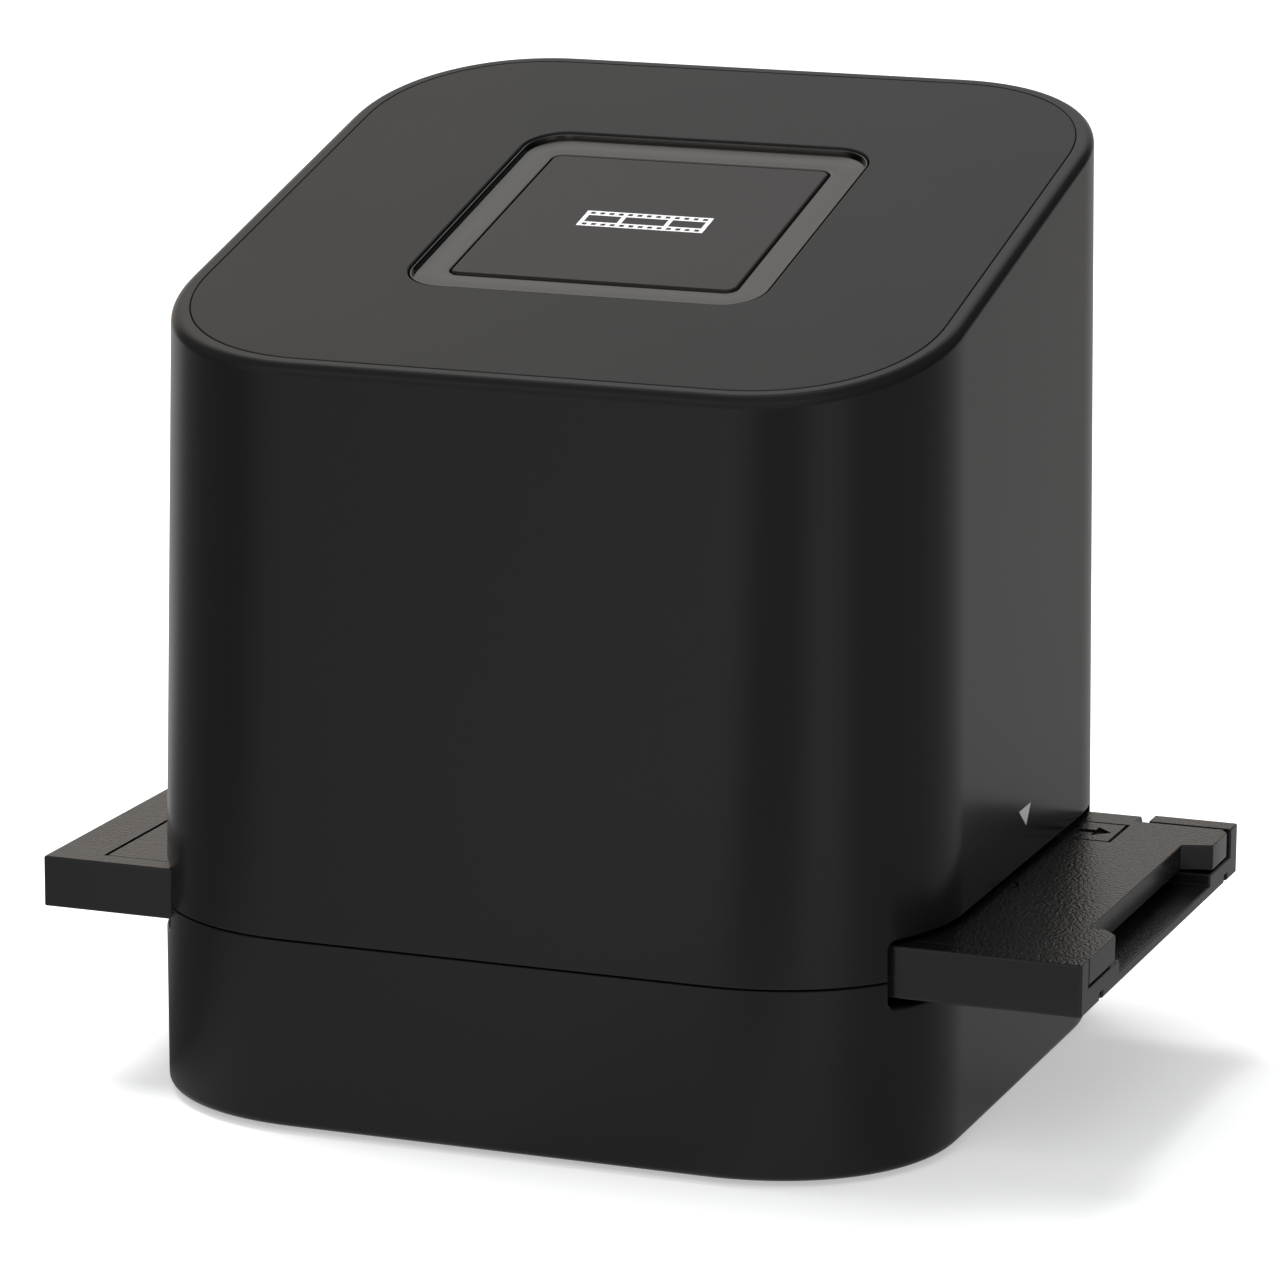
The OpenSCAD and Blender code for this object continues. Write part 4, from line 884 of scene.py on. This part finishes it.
bm = bmesh.new()
for x in ((right_in - PIN_DEPTH, right_in + 1), (left_in - 1, left_in + PIN_DEPTH)):
    add_rod(bm, x, PIN_HOLE_R)
combine(tray, bm)


def tray_border(a, b):
    """The long edges along the tray's outside, and those left of the lid."""
    near, long = 0.1, 0.5
    at_side = max(a.y, b.y) < TRAY_Y[0] + near or min(a.y, b.y) > TRAY_Y[1] - near
    at_end = max(a.x, b.x) < LID_X0 + near or min(a.x, b.x) > TRAY_X[1] - near
    return (a - b).length > long and (at_side or at_end)


ease(tray, width=0.22, wanted=tray_border)
smooth(tray)
# Its strongly paler edges are a painted highlight along the tray's edges
tray_plastic = moulded("tray_plastic", (0.010, 0.0098, 0.0096), 0.22, grain=0.34, depth=0.075,
                       unevenness=0.06, edge_highlight=1.8, polished=0.2)
tray.data.materials.append(tray_plastic)
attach(tray, "tray")
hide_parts("tray_base")


# ---- Film tray, lid ----------------------------
# The grained lid lies in the carrier and holds the film flat with a raised pad below. It
# is hinged at the rear, and a notch in its right end lets a finger lift it.
LID_GAP, FRONT_GAP, REAR_GAP, LID_T = 0.34, 0.13, 0.5, 2.75
NOTCH_X, NOTCH_Y = 56.2, (-19.0, 16.0)
PAD_X, PAD_PLAY = (-46.5, 44.8), 0.3
lid_bottom = TRAY_Z[1] - LID_T
bm = bmesh.new()
add_block(bm, (LID_X0 + LID_GAP, TRAY_X[1]), (LID_Y[0] + FRONT_GAP, LID_Y[1] - REAR_GAP),
          (lid_bottom, TRAY_Z[1]))
lid = new_piece("tray_cover", bm)
bm = bmesh.new()
add_block(bm, PAD_X, (FILM_Y - FILM_HALF + PAD_PLAY, FILM_Y + FILM_HALF - PAD_PLAY),
          (TRAY_Z[0] + TRAY_FLOOR + PAD_PLAY, lid_bottom + 0.5))
combine(lid, bm, "UNION")
bm = bmesh.new()
for x in BARRELS_X:
    add_block(bm, x, (LID_Y[1] - LID_GAP - 0.5, HINGE_Y), (lid_bottom, TRAY_Z[1]))
combine(lid, bm, "UNION")
bm = bmesh.new()
for x in BARRELS_X:
    add_rod(bm, x, BARREL_R)
combine(lid, bm, "UNION")
bm = bmesh.new()
film_windows(bm)
end, rear, beyond = TRAY_X[1], LID_Y[1], 0.01
for outline in (
        [(NOTCH_X, NOTCH_Y[0]), (NOTCH_X + 1.6, NOTCH_Y[0] - 0.2), (end, NOTCH_Y[0] - 2),
         (end + 1, NOTCH_Y[0] - 2), (end + 1, NOTCH_Y[1] + 1.4), (NOTCH_X, NOTCH_Y[1])],
        [(end - 0.8, rear), (end - 0.8, rear - REAR_GAP),
         (end + beyond, rear - REAR_GAP - 1.3), (end + beyond, rear)]):
    add_prism(bm, outline, (TRAY_Z[0], TRAY_Z[1] + 1))
for x in ((right_in - 1, right_out - 2), (left_out + 2, left_in + 1)):
    add_rod(bm, x, PIN_HOLE_R)
combine(lid, bm)
# A box with an arrow, and an arc at the finger notch, are engraved in the lid
engraved = (TRAY_Z[1] - 0.4, TRAY_Z[1] + 1)
line, box_x, box_y = 0.42, (42.6, 48.8), (14.2, 22.1)
arrow = [(43.9, 17.5), (45.9, 17.5), (45.9, 16.3), (47.8, 18.15), (45.9, 20.0), (45.9, 18.8),
         (43.9, 18.8)]
arc_x, arc_y, arc_out, arc_in = 42.4, -6.6, 2.4, 2.0
arc = [(arc_x + r * math.cos(a), arc_y + r * math.sin(a))
       for r, sweep in ((arc_out, (-70, 70)), (arc_in, (70, -70))) for a in turn(*sweep, 12)]
bm = bmesh.new()
stencil(bm, [box_x[0], box_x[0] + line, box_x[1] - line, box_x[1]],
        [box_y[0], box_y[0] + line, box_y[1] - line, box_y[1]],
        lambda i, j: (i, j) != (1, 1), engraved)
add_prism(bm, arrow, engraved)
add_prism(bm, arc, engraved)
combine(lid, bm)


def lid_border(a, b):
    """The edges round the lid's upper face and at its open end, away from the barrels."""
    near, border, marks_x, box_from, arc_half = 0.01, 0.6, (42, 50), 14, 3
    left, low, high = min(a.x, b.x), min(a.y, b.y), max(a.y, b.y)
    on_top = min(a.z, b.z) > TRAY_Z[1] - near and high < LID_Y[1] - LID_GAP + near
    at_end = left > NOTCH_X - near
    by_marks = (marks_x[0] < left < marks_x[1]
                and (low > box_from or abs(a.y - arc_y) < arc_half))
    inside = high < LID_Y[1] - border and low > LID_Y[0] + border
    return (on_top or at_end) and not (by_marks and inside)


ease(lid, width=0.13, wanted=lid_border)
smooth(lid)
lid.data.materials.append(tray_plastic)
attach(lid, "tray")
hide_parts("tray_lid")


# ---- Tray's steel parts ------------------------
# Two turned steel pins join the lid to the carrier. A bent leaf of bright spring steel,
# fixed behind the tray, drops into its click notches.
def dress(material, *nodes):
    """Gives the material to solids that keep their CAD shape."""
    for name in nodes:
        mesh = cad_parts[name].data
        mesh.materials.clear()
        mesh.materials.append(material)


# Level marks that a cutting tool or a rolling mill leaves, pitch in millimetres
tool_marks, given, put = shader_group("tool_marks", ("Pitch",), ("Height", "Streak"))
tree = tool_marks
place = own_place(tree)
stretch = (0.06, 0.06, 1.0)
drawn = add(tree, "VectorMath", {0: place, 1: stretch}, operation="MULTIPLY").outputs[0]
lines = noise(tree, drawn, math_node(tree, "DIVIDE", 1000.0, given["Pitch"]), 3.0)
tree.links.new(lines, put["Height"])
tree.links.new(times(tree, lines, noise(tree, place, 900.0, 3.0)), put["Streak"])


def metal(name, colour, roughness, pitch=0.12, depth=0.003):
    """Bare or plated metal: its colour and gloss, and the pitch and depth of its marks."""
    material, tree = new_material(name)
    marks = add(tree, "Group", {"Pitch": pitch}, node_tree=tool_marks).outputs
    darker = [c * 0.6 for c in colour]
    dull = times(tree, marks["Streak"], 0.3)
    put_out(tree, add(tree, "BsdfPrincipled", {
        "Base Color": mix_colours(tree, marks["Streak"], (*colour, 1), (*darker, 1)),
        "Metallic": 1.0, "Roughness": math_node(tree, "ADD", dull, roughness),
        "Normal": bump(tree, marks["Height"], depth)}))
    return material


dress(metal("turned_steel", (0.60, 0.60, 0.61), 0.22), "hinge_pins")
dress(metal("spring_steel", (0.66, 0.65, 0.62), 0.16, pitch=0.05), "detent_spring")


# ---- Bed and film gate -------------------------
# The bed that the tray runs on and the gate that holds it down: dull black mouldings that
# swallow stray light, screwed to the base and to each other. Both show in the slots.
inner_plastic = moulded("inner_plastic", (0.010, 0.010, 0.011), 0.6, grain=0.35, depth=0.02,
                        edge_highlight=0.4, dust=0.15)
dress(inner_plastic, "slide_bed", "film_gate")


# ---- Backlight ---------------------------------
# Six white light-emitting diodes on a white board below the film, in a white reflector
# that an opal sheet closes. It lights the film evenly from below.
def circuit_board(name, mask, track, track_pitch=1.3):
    """Solder mask over copper tracks, with tinned holes, seen from above."""
    material, tree = new_material(name)
    place = own_place(tree)
    tracks = add(tree, "TexBrick", {
        "Vector": place, "Color1": (*mask, 1), "Color2": [c * 0.9 for c in mask] + [1],
        "Mortar": (*track, 1), "Scale": 250.0 / track_pitch, "Mortar Size": 0.025,
        "Mortar Smooth": 0.3, "Brick Width": 1.4, "Row Height": 0.25}, offset=0.3).outputs
    cells = add(tree, "TexVoronoi", {"Vector": place, "Scale": 330.0}).outputs["Distance"]
    tinned, tin = math_node(tree, "LESS_THAN", cells, 0.1), (0.62, 0.61, 0.57, 1)
    grain = add(tree, "Group", {"Size": 0.5, "Unevenness": 0.15}, node_tree=mould_grain)
    raised = math_node(tree, "MAXIMUM", tracks["Fac"], tinned)
    put_out(tree, add(tree, "BsdfPrincipled", {
        "Base Color": mix_colours(tree, tinned, tracks["Color"], tin), "Metallic": tinned,
        "Roughness": math_node(tree, "ADD", grain.outputs["Mottle"], 0.32),
        "Normal": bump(tree, raised, 0.03)}))
    return material


dress(circuit_board("board_white", (0.75, 0.75, 0.72), (0.62, 0.62, 0.60), 2.0),
      "backlight_board")
dress(moulded("led_resin", (0.85, 0.72, 0.30), 0.25, grain=0.4, coat=0.3), "backlight_leds")
dress(moulded("white_plastic", (0.82, 0.82, 0.80), 0.5, grain=0.3, dust=0.1), "reflector_box")
dress(moulded("opal_plastic", (0.88, 0.88, 0.86), 0.35, grain=0.4, dust=0.1), "diffuser")


# ---- Light tunnel and lens ---------------------
# A black tunnel keeps stray light off the picture. The lens above it has three glasses in
# a black anodised barrel, held by a moulded holder, and a coloured filter stops infrared.
dress(inner_plastic, "light_tunnel", "lens_holder")
dress(metal("lens_aluminium", (0.035, 0.035, 0.038), 0.35, pitch=0.25, depth=0.01),
      "lens_barrel")


def glass(name, colour, ior):
    """Clear glass with a faint haze on its surface."""
    material, tree = new_material(name)
    haze = add(tree, "Group", {"Size": 1.5, "Unevenness": 0.06}, node_tree=mould_grain)
    put_out(tree, add(tree, "BsdfPrincipled", {
        "Base Color": (*colour, 1), "IOR": ior, "Transmission Weight": 1.0,
        "Roughness": math_node(tree, "ABSOLUTE", haze.outputs["Mottle"])}))
    return material


dress(glass("lens_glass", (0.96, 0.98, 0.97), 1.62), "lens_elements")
dress(glass("filter_glass", (0.66, 0.88, 0.90), 1.52), "infrared_filter")


# ---- Circuit boards ----------------------------
# The sensor's board lies above the lens, the main board behind the film gate, and the
# button's board hangs on the top plate. Flat ribbons in push-in sockets join them.
dress(circuit_board("board_green", (0.012, 0.085, 0.03), (0.02, 0.13, 0.05)),
      "button_board", "sensor_board", "main_board")
dress(moulded("chip_plastic", (0.02, 0.02, 0.022), 0.4, grain=0.2, depth=0.008),
      "tact_switch", "sensor_chip", "main_board_chips")
dress(moulded("plunger_plastic", (0.55, 0.50, 0.43), 0.4, grain=0.3), "switch_plunger")
dress(moulded("socket_plastic", (0.70, 0.66, 0.56), 0.4, grain=0.3), "ribbon_sockets")
ribbon_film, tree = new_material("ribbon_film")
conductor_pitch, film_white, foil_grey = 0.5 * MM, (0.80, 0.80, 0.78, 1), (0.50, 0.50, 0.48, 1)
across_ribbon = add(tree, "SeparateXYZ", {0: own_place(tree)}).outputs["X"]
wave = math_node(tree, "SINE", times(tree, across_ribbon, 2 * math.pi / conductor_pitch))
foil = math_node(tree, "GREATER_THAN", wave, -0.2)
put_out(tree, add(tree, "BsdfPrincipled", {
    "Base Color": mix_colours(tree, foil, film_white, foil_grey),
    "Roughness": math_node(tree, "SUBTRACT", 0.38, times(tree, foil, 0.1)),
    "Normal": bump(tree, wave, 0.02)}))
dress(ribbon_film, "sensor_ribbon", "backlight_ribbon", "button_ribbon")


# ---- USB socket --------------------------------
# A shell drawn from tinned steel, soldered to the main board's rear edge and let into the
# rear wall's opening. Inside it a black tongue carries five gilt contacts.
USB_W, USB_T, USB_L, USB_R, USB_SKIN, USB_SINK = 7.7, 3.9, 9.2, 0.9, 0.4, 0.8
usb_out = BODY_D / 2 - USB_SINK
usb_in = usb_out - USB_L
TONGUE_HALF_W, TONGUE_HALF_T = 2.45, 0.4
CONTACT_PITCH, CONTACT_HALF_W, CONTACT_Z = 0.8, 0.18, (-0.06, 0.04)


def usb_ring(inset, y):
    outline = soft_outline(USB_W - 2 * inset, USB_T - 2 * inset, USB_R - inset, steps=8)
    return [(x, y, usb_mid + z) for x, z in outline]


bm = bmesh.new()
shell_edge = USB_SKIN / 2
skin(bm, [usb_ring(0, usb_in), usb_ring(0, usb_out - shell_edge)]
     + [usb_ring(shell_edge * (1 - math.cos(a)), usb_out - shell_edge * (1 - math.sin(a)))
        for a in turn(30, 150, 4)]
     + [usb_ring(USB_SKIN, usb_out - shell_edge), usb_ring(USB_SKIN, usb_in + 1)])
usb_shell = new_piece("usb_shell", bm)
smooth(usb_shell)
tinned_steel = metal("tinned_steel", (0.70, 0.69, 0.67), 0.24, pitch=0.3)
usb_shell.data.materials.append(tinned_steel)
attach(usb_shell, "body")
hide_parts("usb_socket")
bm = bmesh.new()
add_block(bm, (-TONGUE_HALF_W, TONGUE_HALF_W), (usb_in + 1, usb_out - 1),
          (usb_mid - TONGUE_HALF_T, usb_mid + TONGUE_HALF_T))
usb_tongue = new_piece("usb_tongue", bm)
ease(usb_tongue, width=0.15, wanted=lambda a, b: min(a.y, b.y) > usb_out - 1.1)
smooth(usb_tongue)
usb_tongue.data.materials.append(moulded("tongue_plastic", (0.015, 0.015, 0.016), 0.35, grain=0.2))
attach(usb_tongue, "body")
bm = bmesh.new()
for k in range(-2, 3):
    middle = k * CONTACT_PITCH
    add_block(bm, (middle - CONTACT_HALF_W, middle + CONTACT_HALF_W), (usb_in + 1, usb_out - 1.4),
              [usb_mid - TONGUE_HALF_T + z for z in CONTACT_Z])
usb_contacts = new_piece("usb_contacts", bm)
usb_contacts.data.materials.append(metal("gilt_contacts", (0.83, 0.62, 0.27), 0.2, pitch=0.06))
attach(usb_contacts, "body")


# ---- Screws ------------------------------------
# Small pan-head screws of zinc-plated steel that cut their own thread in the bosses. The
# four that hold the housing together sit deep in the base's underside.
dress(metal("screw_steel", (0.55, 0.55, 0.56), 0.28, pitch=0.1, depth=0.005),
      "button_board_screws", "bed_screws", "gate_screws", "backlight_screws", "tunnel_screws",
      "sensor_screws", "main_board_screws", "housing_screws")


# ---- Feet --------------------------------------
# Four round pads of black rubber keep the scanner from sliding. They are glued into
# shallow seats under the base.
dress(moulded("foot_rubber", (0.020, 0.020, 0.020), 0.75, grain=0.25, depth=0.02,
              unevenness=0.15, edge_highlight=0.6), "rubber_feet")
